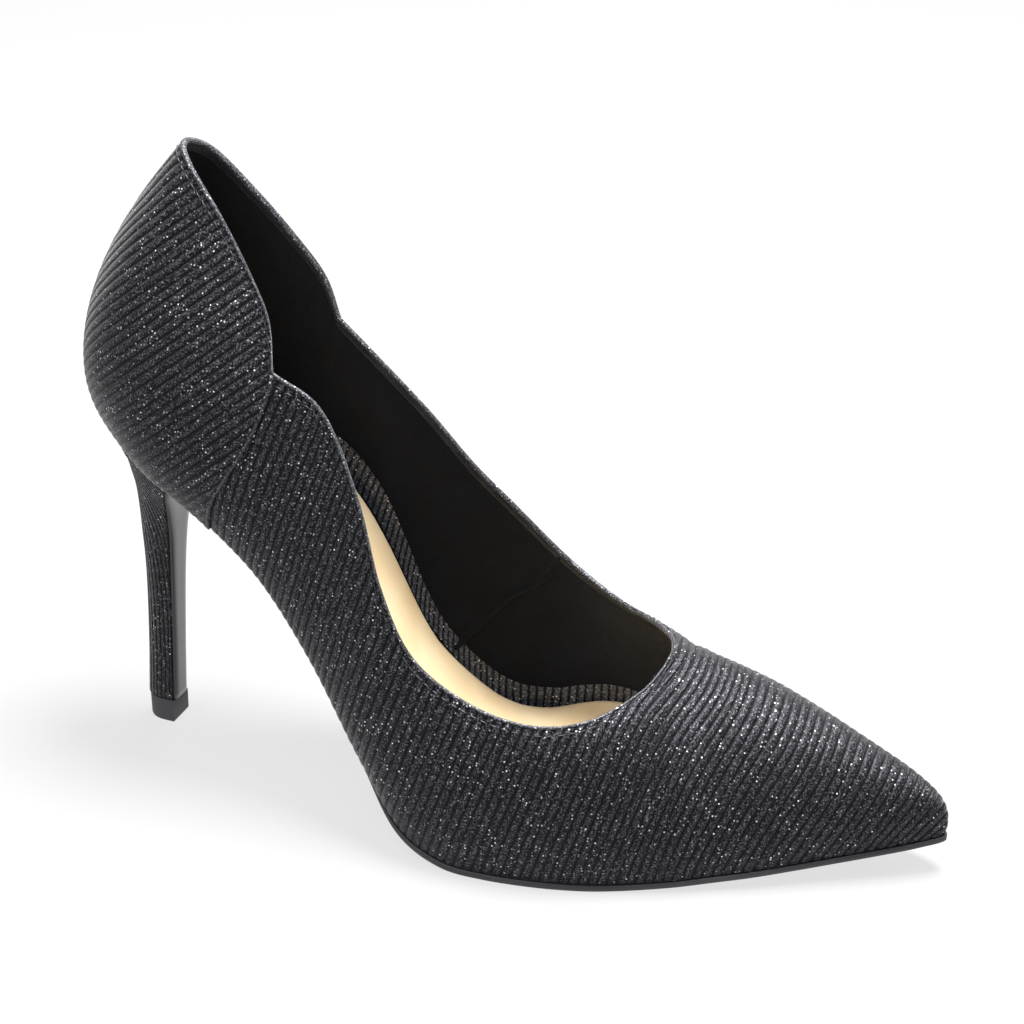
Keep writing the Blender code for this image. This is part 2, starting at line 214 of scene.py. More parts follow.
@dataclass(frozen=True)
class Last:
    """The shape that the shoe is built on, in millimetres.

    Feather rows hold the place along the shoe, both half widths, the height of the edge
    where upper and sole meet, and how much higher it lies on the inner side. Top rows hold
    the place along, half width and height of the topline, or of the vamp's ridge ahead of
    the throat. Belly rows hold the handles that round the wall: out and up from the feather
    edge, out and down from the top, and how much the upper one falls towards the toe.
    """

    feather: Tuple[Tuple[float, ...], ...] = (
        (8.3, 0.0, 0.0, 84.2, 0.0),
        (10.1, 8.8, 8.8, 83.6, 0.0),
        (17.0, 16.0, 16.0, 81.3, 0.0),
        (26.0, 20.2, 20.2, 76.6, 0.0),
        (35.0, 20.9, 21.0, 71.8, 1.2),
        (43.0, 21.4, 21.6, 66.8, 3.2),
        (57.0, 23.0, 22.6, 56.3, 5.0),
        (72.0, 26.5, 23.2, 40.0, 3.6),
        (87.0, 31.9, 26.6, 21.2, 0.4),
        (100.0, 37.0, 32.8, 7.6, 0.0),
        (112.0, 39.6, 38.0, 2.6, 0.0),
        (124.0, 39.4, 39.4, 1.9, 0.0),
        (136.0, 37.3, 38.0, 1.9, 0.0),
        (146.0, 34.2, 36.0, 1.9, 0.0),
        (154.5, 30.6, 33.9, 2.2, 0.0),
        (165.0, 25.6, 30.9, 3.0, 0.0),
        (174.0, 20.5, 28.2, 3.9, 0.0),
        (182.5, 15.4, 25.5, 4.7, 0.0),
        (191.0, 9.7, 23.0, 5.6, 0.0),
        (200.0, 3.7, 20.5, 6.7, 0.0),
        (209.0, -2.2, 18.3, 7.9, 0.0),
        (216.8, -7.4, 16.6, 9.1, 0.0),
        (222.4, -12.6, 12.6, 10.0, 0.0),
    )
    counter_top: Tuple[Tuple[float, ...], ...] = (
        (25.0, 0.0, 154.3),
        (29.0, 6.1, 151.3),
        (38.8, 9.8, 141.0),
        (47.2, 13.0, 130.8),
        (54.2, 16.2, 120.5),
        (57.2, 20.0, 109.2),
    )
    lateral_top: Tuple[Tuple[float, ...], ...] = (
        (57.2, 20.0, 109.2),
        (70.0, 20.5, 102.2),
        (81.5, 25.0, 84.2),
        (90.2, 29.5, 64.4),
        (100.2, 32.4, 49.9),
        (115.5, 34.2, 42.5),
        (130.5, 33.3, 40.1),
        (142.2, 27.6, 41.4),
        (150.4, 18.2, 45.4),
        (153.7, 9.8, 48.3),
        (153.9, -1.0, 49.6),
    )
    medial_top: Tuple[Tuple[float, ...], ...] = (
        (57.2, 20.0, 109.2),
        (68.0, 21.2, 99.7),
        (80.5, 24.0, 87.3),
        (92.1, 27.0, 74.1),
        (103.0, 29.5, 63.8),
        (115.0, 32.5, 52.3),
        (124.5, 31.0, 47.2),
        (134.5, 25.0, 46.0),
        (144.0, 16.5, 47.8),
        (151.4, 7.5, 49.3),
        (153.9, 1.0, 49.6),
    )
    ridge: Tuple[Tuple[float, ...], ...] = (
        (153.9, 1.0, 49.6),
        (163.0, 2.6, 47.6),
        (175.0, 4.4, 43.8),
        (187.0, 6.2, 38.6),
        (197.0, 7.9, 33.5),
        (205.0, 9.4, 29.2),
        (211.5, 10.6, 25.6),
        (216.6, 11.6, 21.9),
    )
    belly: Tuple[Tuple[float, ...], ...] = (
        (9.0, 10.0, 31.8, 41.0, 0.0),
        (9.0, 10.0, 27.5, 39.0, 0.0),
        (9.0, 11.0, 21.0, 34.0, 0.0),
        (8.5, 12.0, 15.0, 28.0, 0.0),
        (8.0, 12.0, 11.0, 24.0, 0.0),
        (7.0, 12.0, 7.0, 20.0, 0.0),
        (6.0, 13.0, 4.0, 16.0, 0.0),
        (5.0, 12.0, 3.0, 15.0, 0.0),
        (4.5, 11.0, 4.0, 13.0, 0.0),
        (4.0, 10.0, 5.0, 11.0, 0.0),
        (3.5, 10.0, 6.0, 10.0, 0.0),
        (3.0, 10.0, 7.0, 9.0, 0.0),
        (3.0, 10.0, 9.0, 7.0, 0.0),
        (3.0, 11.0, 12.5, 5.0, 0.1),
        (3.0, 12.0, 18.5, 3.6, 0.15),
        (3.0, 12.0, 26.5, 2.6, 0.2),
        (2.6, 12.0, 20.5, 1.5, 0.25),
        (2.5, 12.0, 17.5, 1.0, 0.36),
        (2.2, 11.5, 14.5, 0.8, 0.44),
        (2.0, 10.5, 11.5, 0.6, 0.47),
        (1.8, 9.5, 8.8, 0.5, 0.48),
        (1.3, 8.0, 6.3, 0.4, 0.5),
        (1.0, 6.5, 4.6, 0.3, 0.5),
    )
    counter_seam: float = 5.0
    quarter_seam: float = 10.0
    throat: float = 15.0
    throat_ease: float = 2.0
    toe: float = 22.0
    flat_rise: float = 1.9
    ridge_height: float = 0.999

    def feather_table(self, side: Side) -> Array:
        """List one side's feather edge, padded with the other side's next points."""
        along, lateral, medial, rise, twist = np.array(self.feather, float).T
        edges = {
            Side.LATERAL: np.stack([along, -lateral, rise], 1),
            Side.MEDIAL: np.stack([along, medial, rise + twist], 1),
        }
        other = edges[Side(-side.value)]
        return np.vstack([other[1], edges[side], other[-2]])

    def feather_at(self, side: Side, place: Array) -> Array:
        """Find points of the feather edge."""
        points = catmull(self.feather_table(side), place)
        points[..., 2] = np.maximum(points[..., 2], self.flat_rise)
        return points

    def inset_edge(self, side: Side, place: Array, inset: Union[float, Array]) -> Array:
        """Find points that lie a given distance inside the feather edge."""
        pull = np.asarray(inset, float)[..., None]
        return self.feather_at(side, place) - self.outward(side, place) * pull

    def outward(self, side: Side, place: Array) -> Array:
        """Give the level directions in which the wall faces.

        Args:
            side: Side of the foot.
            place: Places counted in sections from heel to toe.

        Returns:
            One level unit vector for each place.
        """
        reach = 0.05
        place = np.asarray(place, float)
        start = self.feather_at(side, np.maximum(place - reach, 0.0))
        end = self.feather_at(side, np.minimum(place + reach, self.toe))
        run = end - start
        level = np.zeros_like(run)
        level[..., 0] = -side.value * run[..., 1]
        level[..., 1] = side.value * run[..., 0]
        level[place <= 0] = (-1.0, 0.0, 0.0)
        near = np.array(self.toe - reach)
        across = self.feather_at(Side.MEDIAL, near) - self.feather_at(Side.LATERAL, near)
        level[place >= self.toe] = (across[1], -across[0], 0.0)
        return unit(level)

    def slowed(self, place: Array) -> Array:
        """Slow the topline into the throat and the ridge out of it, as on the solid."""
        share = np.clip(1.0 - np.abs(place - self.throat) / self.throat_ease, 0.0, 1.0)
        travel = self.throat_ease * (1.0 - share * (1.0 + share - share * share))
        moved = self.throat + np.copysign(travel, place - self.throat)
        return np.where(share > 0.0, moved, place)

    def top_at(self, side: Side, place: Array) -> Array:
        """Find points of the topline or, ahead of the throat, of the ridge."""
        place = self.slowed(np.asarray(place, float))
        counter = np.array(self.counter_top, float)
        before = counter[1] * (1.0, -1.0, 1.0)
        after = 2 * counter[-1] - counter[-2]
        back = catmull(np.vstack([before, counter, after]), np.minimum(place, self.counter_seam))
        rows = self.medial_top if side is Side.MEDIAL else self.lateral_top
        middle_place = np.clip(place, self.counter_seam, self.throat) - self.counter_seam
        middle = catmull(open_ended(rows), middle_place)
        front = catmull(open_ended(self.ridge), np.maximum(place - self.throat, 0.0))
        back[..., 1] *= side.value
        middle[..., 1] *= side.value
        points = np.where((place <= self.counter_seam)[..., None], back, middle)
        return np.where((place > self.throat)[..., None], front, points)

    def wall(self, side: Side, place: Array, height: Array) -> Array:
        """Find points on the outside of the upper.

        Args:
            side: Side of the foot.
            place: Places counted in sections from heel to toe.
            height: 0 at the feather edge to 1 at the topline or ridge.

        Returns:
            One point for each pair of place and height, in millimetres.
        """
        place, height = np.broadcast_arrays(np.asarray(place, float), np.asarray(height, float))
        handles = catmull(open_ended(self.belly), place)
        low_out, low_up, high_out, high_down, fall = np.moveaxis(handles, -1, 0)
        out = self.outward(side, place)
        foot = self.feather_at(side, place)
        head = self.top_at(side, place)
        up = np.array([0.0, 0.0, 1.0])
        low = foot + out * low_out[..., None] + up * low_up[..., None]
        drop = high_down + fall * high_out * out[..., 0]
        high = head + out * high_out[..., None] - up * drop[..., None]
        t = height[..., None]
        rest = 1.0 - t
        return foot * rest ** 3 + low * 3 * rest ** 2 * t + high * 3 * rest * t ** 2 + head * t ** 3

    def facing(self, side: Side, place: Array, height: Array) -> Array:
        """Give the unit normals of one side of the wall."""
        step = 0.02
        edge = 0.985
        height = np.clip(height, step, edge)
        place = np.asarray(place, float)
        ahead = self.wall(side, np.minimum(place + step, self.toe), height)
        behind = self.wall(side, np.maximum(place - step, 0.0), height)
        above = self.wall(side, place, np.minimum(height + step, 1.0))
        below = self.wall(side, place, height - step)
        return unit(np.cross(ahead - behind, above - below) * -side.value)

    def normal(self, side: Side, place: Array, height: Array) -> Array:
        """Give unit normals that agree where both sides of the wall meet.

        Args:
            side: Side of the foot.
            place: Places counted in sections from heel to toe.
            height: 0 at the feather edge to 1 at the topline or ridge.

        Returns:
            One outward unit vector for each pair.
        """
        place, height = np.broadcast_arrays(np.asarray(place, float), np.asarray(height, float))
        own = self.facing(side, place, height)
        other = self.facing(Side(-side.value), place, height)
        on_ridge = (height >= self.ridge_height) & (place >= self.throat)
        shared = on_ridge | (place <= 0.0) | (place >= self.toe)
        return np.where(shared[..., None], unit(own + other), own)

    def skin(self, side: Side, place: Array, height: Array, proud: Array) -> Array:
        """Find points that stand proud of the wall by a given depth."""
        depth = np.asarray(proud, float)[..., None]
        return self.wall(side, place, height) + self.normal(side, place, height) * depth


LAST = Last()


@dataclass
class Shift:
    """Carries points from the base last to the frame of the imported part."""

    along: float = 0.0
    across: float = 0.0
    places: int = 1200
    heights: int = 60

    def fit(self, low: Vector, high: Vector) -> None:
        """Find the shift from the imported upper's box.

        Args:
            low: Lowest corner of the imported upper.
            high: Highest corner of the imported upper.
        """
        place = np.linspace(0.0, LAST.toe, self.places)
        height = np.linspace(0.0, 1.0, self.heights)
        walls = [LAST.wall(side, place[:, None], height[None, :]) for side in Side]
        points = np.concatenate([wall.reshape(-1, 3) for wall in walls])
        self.along = high.x / MM - points[:, 0].max()
        self.across = 0.5 * (low.y + high.y) / MM - 0.5 * (points[:, 1].min() + points[:, 1].max())

    def metres(self, points: Array) -> Array:
        """Turn points in millimetres on the last into metres in the part's frame."""
        return (points + np.array([self.along, self.across, 0.0])) * MM


SHIFT = Shift()


class Finish:
    """A material that makes itself once and is then shared."""

    name: str = ""

    def dress(self, tree: bpy.types.NodeTree, shader: bpy.types.Node) -> None:
        """Set the shader's values and add its pattern; each finish has its own."""
        raise NotImplementedError

    def material(self) -> bpy.types.Material:
        """Give the Blender material, making it on first use."""
        found = bpy.data.materials.get(self.name)
        if found:
            return found
        made = bpy.data.materials.new(self.name)
        made.use_nodes = True
        self.dress(made.node_tree, made.node_tree.nodes["Principled BSDF"])
        return made


@dataclass(frozen=True)
class RibbedGlitterCloth(Finish):
    """Rib-knit cloth of black yarn and fine metallised film thread.

    The knit gives flat soft ribs with narrow grooves, whose colour is painted darker as
    painted shade. The film thread gives a grey speckle all over, and white dots painted into
    the colour stand for the glints of the few threads that lie flat to the light. The real
    film is 0.1 mm wide, and its speckle and glints are drawn coarser so that they show.
    """

    name: str = "black_rib_knit_with_silver_film_thread"
    # Colour of the grooves: painted shade in the recess between ribs.
    groove: str = "#0b0b0e"
    yarn: str = "#111115"
    thread: str = "#8b8c95"
    # White painted into the colour as glints of the film thread, lit or not.
    painted_glint: str = "#ffffff"
    groove_sharpness: float = 2.4
    speckle_mm: float = 0.4
    speckle_low: float = 0.48
    speckle_high: float = 0.86
    glint_cell_mm: float = 0.8
    glint_radius_mm: float = 0.24
    glint_rarity: float = 5.0
    cluster_mm: float = 8.0
    cluster_dim: float = 0.4
    cluster_bright: float = 1.6
    bump_mm: float = 0.2
    bump_strength: float = 0.8
    roughness: float = 0.45
    specular: float = 0.2
    metallic: float = 0.5
    sheen: float = 0.2
    sheen_roughness: float = 0.35

    def dress(self, tree: bpy.types.NodeTree, shader: bpy.types.Node) -> None:
        """Build grooves with painted shade from the rib phase, speckle from the knit and painted glints
        from cells.
        """
        place = add_node(tree, "ShaderNodeTexCoord").outputs["Object"]
        phase = add_node(tree, "ShaderNodeAttribute", attribute_name=PHASE).outputs["Fac"]
        turn = add_node(tree, "ShaderNodeMath", {0: phase, 1: math.tau}, operation="MULTIPLY")
        wave = add_node(tree, "ShaderNodeMath", {0: turn.outputs[0]}, operation="COSINE")
        share = add_node(
            tree, "ShaderNodeMath", {0: wave.outputs[0], 1: 0.5, 2: 0.5}, operation="MULTIPLY_ADD")
        groove = add_node(
            tree, "ShaderNodeMath", {0: share.outputs[0], 1: self.groove_sharpness}, operation="POWER")
        knit = add_node(
            tree, "ShaderNodeTexNoise",
            {"Vector": place, "Scale": 1.0 / (self.speckle_mm * MM), "Detail": 2.0, "Roughness": 0.7})
        speckle = add_node(
            tree, "ShaderNodeMapRange",
            {"Value": knit.outputs["Fac"], "From Min": self.speckle_low, "From Max": self.speckle_high})
        grey = add_node(
            tree, "ShaderNodeMix",
            {0: speckle.outputs[0], 6: linear(self.yarn), 7: linear(self.thread)}, data_type="RGBA")
        # The grooves take the darker groove colour: painted shade in the recess.
        ribbed = add_node(
            tree, "ShaderNodeMix",
            {0: groove.outputs[0], 6: grey.outputs[2], 7: linear(self.groove)}, data_type="RGBA")
        # Painted glints: white dots mixed into the base colour wherever they fall.
        painted_glint = self.painted_glints(tree, place)
        colour = add_node(
            tree, "ShaderNodeMix",
            {0: painted_glint, 6: ribbed.outputs[2], 7: linear(self.painted_glint)}, data_type="RGBA")
        height = add_node(
            tree, "ShaderNodeMath", {0: knit.outputs["Fac"], 1: groove.outputs[0]}, operation="SUBTRACT")
        bump = add_node(
            tree, "ShaderNodeBump",
            {"Strength": self.bump_strength, "Distance": self.bump_mm * MM,
             "Height": height.outputs[0]})
        feed(tree, shader, {
            "Base Color": colour.outputs[2],
            "Normal": bump.outputs[0],
            "Roughness": self.roughness,
            "Specular IOR Level": self.specular,
            "Metallic": self.metallic,
            "Sheen Weight": self.sheen,
            "Sheen Roughness": self.sheen_roughness,
        })

    def painted_glints(self, tree: bpy.types.NodeTree, place: bpy.types.NodeSocket) -> bpy.types.NodeSocket:
        """Scatter small painted glints, few bright and many dim, in loose clusters.

        Args:
            tree: The material's node tree.
            place: The coordinates that the sparks lie in.

        Returns:
            The share of painted glint colour at each point.
        """
        cells = add_node(
            tree, "ShaderNodeTexVoronoi",
            {"Vector": place, "Scale": 1.0 / (self.glint_cell_mm * MM)})
        lot = add_node(tree, "ShaderNodeSeparateColor", {0: cells.outputs["Color"]})
        rare = add_node(
            tree, "ShaderNodeMath", {0: lot.outputs[0], 1: self.glint_rarity}, operation="POWER")
        radius = self.glint_radius_mm / self.glint_cell_mm
        dot = add_node(
            tree, "ShaderNodeMapRange",
            {"Value": cells.outputs["Distance"], "From Min": radius, "From Max": 0.5 * radius})
        cloud = add_node(
            tree, "ShaderNodeTexNoise",
            {"Vector": place, "Scale": 1.0 / (self.cluster_mm * MM), "Detail": 1.0})
        cluster = add_node(
            tree, "ShaderNodeMapRange",
            {"Value": cloud.outputs["Fac"], "From Min": CLOUD_LOW, "From Max": CLOUD_HIGH,
             "To Min": self.cluster_dim, "To Max": self.cluster_bright})
        bright = add_node(
            tree, "ShaderNodeMath", {0: rare.outputs[0], 1: cluster.outputs[0]}, operation="MULTIPLY")
        painted_glint = add_node(
            tree, "ShaderNodeMath", {0: bright.outputs[0], 1: dot.outputs[0]}, operation="MULTIPLY",
            use_clamp=True)
        return painted_glint.outputs[0]


@dataclass(frozen=True)
class WovenLining(Finish):
    """Plain-woven synthetic lining, black and matte, with the faint mottle of fine yarn."""

    name: str = "black_woven_lining_cloth"
    dark: str = "#05080f"
    light: str = "#0b101c"
    yarn_mm: float = 0.5
    mottle_mm: float = 9.0
    mottle_low: float = 0.15
    mottle_high: float = 0.4
    bump_mm: float = 0.1
    bump_strength: float = 0.4
    roughness: float = 0.8
    specular: float = 0.12
    sheen: float = 0.1

    def dress(self, tree: bpy.types.NodeTree, shader: bpy.types.Node) -> None:
        """Mottle the colour in two sizes and raise the yarn slightly."""
        place = add_node(tree, "ShaderNodeTexCoord").outputs["Object"]
        yarn = add_node(
            tree, "ShaderNodeTexNoise",
            {"Vector": place, "Scale": 1.0 / (self.yarn_mm * MM), "Detail": 1.0})
        mottle = add_node(
            tree, "ShaderNodeTexNoise",
            {"Vector": place, "Scale": 1.0 / (self.mottle_mm * MM), "Detail": 3.0})
        both = add_node(
            tree, "ShaderNodeMath", {0: yarn.outputs["Fac"], 1: mottle.outputs["Fac"]},
            operation="MULTIPLY")
        share = add_node(
            tree, "ShaderNodeMapRange",
            {"Value": both.outputs[0], "From Min": self.mottle_low, "From Max": self.mottle_high})
        colour = add_node(
            tree, "ShaderNodeMix",
            {0: share.outputs[0], 6: linear(self.dark), 7: linear(self.light)}, data_type="RGBA")
        bump = add_node(
            tree, "ShaderNodeBump",
            {"Strength": self.bump_strength, "Distance": self.bump_mm * MM,
             "Height": yarn.outputs["Fac"]})
        feed(tree, shader, {
            "Base Color": colour.outputs[2],
            "Normal": bump.outputs[0],
            "Roughness": self.roughness,
            "Specular IOR Level": self.specular,
            "Sheen Weight": self.sheen,
        })


@dataclass(frozen=True)
class Grained(Finish):
    """Leather, rubber or thread: two close colours, a fine grain and a gloss of its own."""

    name: str = "grained"
    base: str = "#808080"
    shade: str = "#707070"
    grain_mm: float = 0.8
    grain_depth_mm: float = 0.05
    grain_strength: float = 0.5
    cloud_mm: float = 14.0
    roughness: float = 0.5
    smoothest: float = -0.05
    roughest: float = 0.08
    coat: float = 0.0
    coat_roughness: float = 0.08

    def dress(self, tree: bpy.types.NodeTree, shader: bpy.types.Node) -> None:
        """Mix two close colours over the grain and let the grain break the gloss."""
        place = add_node(tree, "ShaderNodeTexCoord").outputs["Object"]
        grain = add_node(
            tree, "ShaderNodeTexVoronoi", {"Vector": place, "Scale": 1.0 / (self.grain_mm * MM)},
            feature="SMOOTH_F1")
        cloud = add_node(
            tree, "ShaderNodeTexNoise",
            {"Vector": place, "Scale": 1.0 / (self.cloud_mm * MM), "Detail": 4.0})
        share = add_node(
            tree, "ShaderNodeMapRange",
            {"Value": cloud.outputs["Fac"], "From Min": CLOUD_LOW, "From Max": CLOUD_HIGH})
        colour = add_node(
            tree, "ShaderNodeMix",
            {0: share.outputs[0], 6: linear(self.base), 7: linear(self.shade)}, data_type="RGBA")
        bump = add_node(
            tree, "ShaderNodeBump",
            {"Strength": self.grain_strength, "Distance": self.grain_depth_mm * MM,
             "Height": grain.outputs["Distance"]})
        rough = add_node(
            tree, "ShaderNodeMapRange",
            {"Value": cloud.outputs["Fac"], "To Min": self.roughness + self.smoothest,
             "To Max": self.roughness + self.roughest})
        feed(tree, shader, {
            "Base Color": colour.outputs[2],
            "Normal": bump.outputs[0],
            "Roughness": rough.outputs[0],
            "Coat Weight": self.coat,
            "Coat Roughness": self.coat_roughness,
        })


@dataclass(frozen=True)
class TableSheet(Finish):
    """Smoked matte sheet on a light table.

    It shines pale by itself and gives back little of the lamps' light, so shadows stay faint.
    """

    name: str = "pale_sheet_on_light_table"
    base: str = "#4e4e4e"
    shade: str = "#4c4c4d"
    cloud_mm: float = 300.0
    roughness: float = 0.9
    glow_colour: str = "#ffffff"
    glow: float = 0.72

    def dress(self, tree: bpy.types.NodeTree, shader: bpy.types.Node) -> None:
        """Mix two close greys in wide soft clouds and let the table shine through."""
        place = add_node(tree, "ShaderNodeTexCoord").outputs["Object"]
        cloud = add_node(
            tree, "ShaderNodeTexNoise",
            {"Vector": place, "Scale": 1.0 / (self.cloud_mm * MM), "Detail": 0.0})
        colour = add_node(
            tree, "ShaderNodeMix",
            {0: cloud.outputs["Fac"], 6: linear(self.base), 7: linear(self.shade)}, data_type="RGBA")
        feed(tree, shader, {
            "Base Color": colour.outputs[2],
            "Roughness": self.roughness,
            "Emission Color": linear(self.glow_colour),
            "Emission Strength": self.glow,
        })


# Soft goat leather dyed beige: a fine flat grain, a dry matte surface.
INSOLE_LEATHER = Grained(
    name="beige_goat_leather_insole", base="#d2bd99", shade="#c9b189", roughness=0.62, grain_mm=0.6)
# Black sole leather with a waxed edge: dark, half matte, light along the edge.
SOLE_LEATHER = Grained(
    name="black_waxed_sole_leather", base="#333337", shade="#3d3d42", roughness=0.5, grain_mm=0.9)
# Patent leather pasted on the front of the heel: black with a clear hard gloss.
PATENT_LEATHER = Grained(
    name="black_patent_leather", base="#0a0a0c", shade="#0f0f12", roughness=0.28, grain_mm=1.2,
    grain_depth_mm=0.02, coat=0.5)
# Moulded polyurethane rubber: dark grey, matte, faintly pitted.
TIP_RUBBER = Grained(
    name="moulded_grey_heel_rubber", base="#3a3a3f", shade="#46464b", roughness=0.6, grain_mm=0.5)
# Twisted polyester sewing thread: black with a little shine.
SEWING_THREAD = Grained(
    name="black_twisted_polyester_thread", base="#2a2a2e", shade="#3c3c41", roughness=0.45,
    grain_mm=0.4)
TABLE_SHEET = TableSheet()
RIB_CLOTH = RibbedGlitterCloth()
# The same cloth on its folded edges, painted lighter and with more painted glints: a painted highlight
# along each fold.
FOLDED_CLOTH_PAINTED_HIGHLIGHT = RibbedGlitterCloth(
    name="folded_edge_of_black_rib_knit_painted_highlight", yarn="#2c2c30", thread="#a8a9b0", glint_rarity=3.0)
# The same cloth on the strips inside the shoe, painted lighter and bluer: painted light against the
# shade there and against the insole's warm reflected light.
STRIP_CLOTH_PAINTED_LIGHT = RibbedGlitterCloth(
    name="inner_strip_of_black_rib_knit_painted_light", yarn="#3e4250", thread="#b0b7c8", glint_rarity=3.0)
LINING_CLOTH = WovenLining()
# The lining where it is turned over a tape: pulled smooth, and painted lighter as a painted highlight
# along the bead.
TURNED_LINING_PAINTED_HIGHLIGHT = WovenLining(
    name="turned_edge_of_black_lining_painted_highlight", dark="#191b20", light="#2e3138", roughness=0.5)


def make_piece(
    name: str,
    points: Array,
    faces: Sequence[Sequence[int]],
    finish: Finish,
    phase: Optional[Array] = None,
    weld_mm: float = 0.04,
) -> bpy.types.Object:
    """Make a smooth mesh piece from points in millimetres on the last.

    Args:
        name: Name of the piece.
        points: Points, in rows or in a grid.
        faces: Corner numbers of each face.
        finish: The finish that the piece wears.
        phase: Rib phase at each point, where the cloth is ribbed.
        weld_mm: Points closer than this become one.

    Returns:
        The object, linked to the scene and riding on the shoe.
    """
    bm = bmesh.new()
    layer = bm.verts.layers.float.new(PHASE)
    metres = SHIFT.metres(points.reshape(-1, 3))
    phases = np.full(len(metres), MID_RIB) if phase is None else phase.reshape(-1)
    verts = []
    for place, value in zip(metres, phases):
        vert = bm.verts.new(place)
        vert[layer] = float(value)
        verts.append(vert)
    for face in faces:
        bm.faces.new([verts[k] for k in face])
    bmesh.ops.remove_doubles(bm, verts=bm.verts, dist=weld_mm * MM)
    bmesh.ops.dissolve_degenerate(bm, edges=bm.edges, dist=DISSOLVE_SHARE * weld_mm * MM)
    loose = [vert for vert in bm.verts if not vert.link_faces]
    bmesh.ops.delete(bm, geom=loose, context="VERTS")
    bmesh.ops.recalc_face_normals(bm, faces=bm.faces)
    mesh = bpy.data.meshes.new(name)
    bm.to_mesh(mesh)
    bm.free()
    mesh.shade_smooth()
    mesh.materials.append(finish.material())
    piece = bpy.data.objects.new(name, mesh)
    bpy.context.scene.collection.objects.link(piece)
    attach(piece, "root")
    log.info("%s: %d faces", name, len(mesh.polygons))
    return piece


def grid_faces(columns: int, rows: int, first: int = 0, wrap: bool = False) -> List[Tuple[int, ...]]:
    """List the quads of a grid stored column by column.

    Args:
        columns: Number of columns.
        rows: Points in each column.
        first: Number of the grid's first point.
        wrap: Whether the last point of a column joins its first.

    Returns:
        Corner numbers of each quad.
    """
    faces = []
    last = rows if wrap else rows - 1
    for i in range(columns - 1):
        for j in range(last):
            k = (j + 1) % rows
            a = first + i * rows
            b = a + rows
            faces.append((a + j, b + j, b + k, a + k))
    return faces


def tube_faces(columns: int, rows: int, first: int = 0) -> List[Tuple[int, ...]]:
    """List the faces of a row of rings, closed at both ends."""
    ends = (first, first + (columns - 1) * rows)
    caps = [tuple(range(start, start + rows)) for start in ends]
    return grid_faces(columns, rows, first, wrap=True) + caps


@dataclass
class Patchwork:
    """Several grids of points that become one mesh."""

    points: List[Array] = field(default_factory=list)
    phases: List[Array] = field(default_factory=list)
    faces: List[Tuple[int, ...]] = field(default_factory=list)
    count: int = 0

    def add(self, sheet: Array, phase: Optional[Array] = None, tube: bool = False) -> None:
        """Add one grid.

        Args:
            sheet: Points by column and row.
            phase: Rib phase at each point, where the cloth is ribbed.
            tube: Whether the columns are rings, closed at both ends of the grid.
        """
        columns, rows = sheet.shape[:2]
        list_faces = tube_faces if tube else grid_faces
        self.faces += list_faces(columns, rows, self.count)
        self.count += columns * rows
        self.points.append(sheet.reshape(-1, 3))
        if phase is not None:
            self.phases.append(phase.reshape(-1))

    def make(self, name: str, finish: Finish, weld_mm: float = 0.04) -> bpy.types.Object:
        """Make the gathered grids into one piece."""
        phase = np.concatenate(self.phases) if self.phases else None
        return make_piece(name, np.concatenate(self.points), self.faces, finish, phase, weld_mm)


@dataclass(frozen=True)
class Leg:
    """One stretch of a cloth panel along one side of the shoe."""

    side: Side
    start: float
    end: float


@dataclass
class RibbedPanel:
    """A panel of rib cloth on the wall of the upper.

    The panel's columns are lines of equal rib phase, so each rib has the same few columns
    wherever it runs, and its relief is even.
    """

    name: str
    legs: Tuple[Leg, ...]
    phases: PhaseField
    proud: float = 0.05
    relief: float = 0.15
    groove_sharpness: float = 2.4
    columns_per_rib: int = 8
    rows: int = 30
    samples: int = 420
    margin: float = 4.0
    margin_drop: float = 0.12

    def depth(self, phases: Array) -> Array:
        """Say how far the cloth stands proud: full on a rib, less in a groove."""
        groove = (0.5 + 0.5 * np.cos(math.tau * phases)) ** self.groove_sharpness
        return self.proud + self.relief * (1.0 - groove)

    def leg_places(self, leg: Leg, heights: Array) -> Array:
        """Find where lines of equal rib phase cross each row of a leg.

        Args:
            leg: The stretch of wall.
            heights: Heights of the rows.

        Returns:
            Places, one column for each line and one row for each height.
        """
        places = np.linspace(leg.start, leg.end, self.samples)
        wall = LAST.wall(leg.side, places[:, None], heights[None, :])
        phases = self.phases(wall)
        low = math.floor(phases.min() * self.columns_per_rib)
        high = math.ceil(phases.max() * self.columns_per_rib)
        lines = np.arange(low, high + 1) / self.columns_per_rib
        columns = []
        for j in range(len(heights)):
            order = np.argsort(phases[:, j])
            columns.append(np.interp(lines, phases[order, j], places[order]))
        return np.stack(columns, 1)

    def build(self, finish: Finish) -> bpy.types.Object:
        """Make the panel with a margin turned under along the feather edge.

        Args:
            finish: The finish that the panel wears.

        Returns:
            The panel's object.
        """
        heights = np.linspace(0.0, 1.0, self.rows)
        patchwork = Patchwork()
        for leg in self.legs:
            places = self.leg_places(leg, heights)
            wall = LAST.wall(leg.side, places, heights[None, :])
            rib = self.phases(wall)
            skin = LAST.skin(leg.side, places, np.broadcast_to(heights, places.shape), self.depth(rib))
            under = skin[:, :1] - LAST.outward(leg.side, places[:, :1]) * self.margin
            under[..., 2] -= self.margin_drop
            sheet = np.concatenate([under, skin], 1)
            patchwork.add(sheet, np.concatenate([rib[:, :1], rib], 1))
        return patchwork.make(self.name, finish)


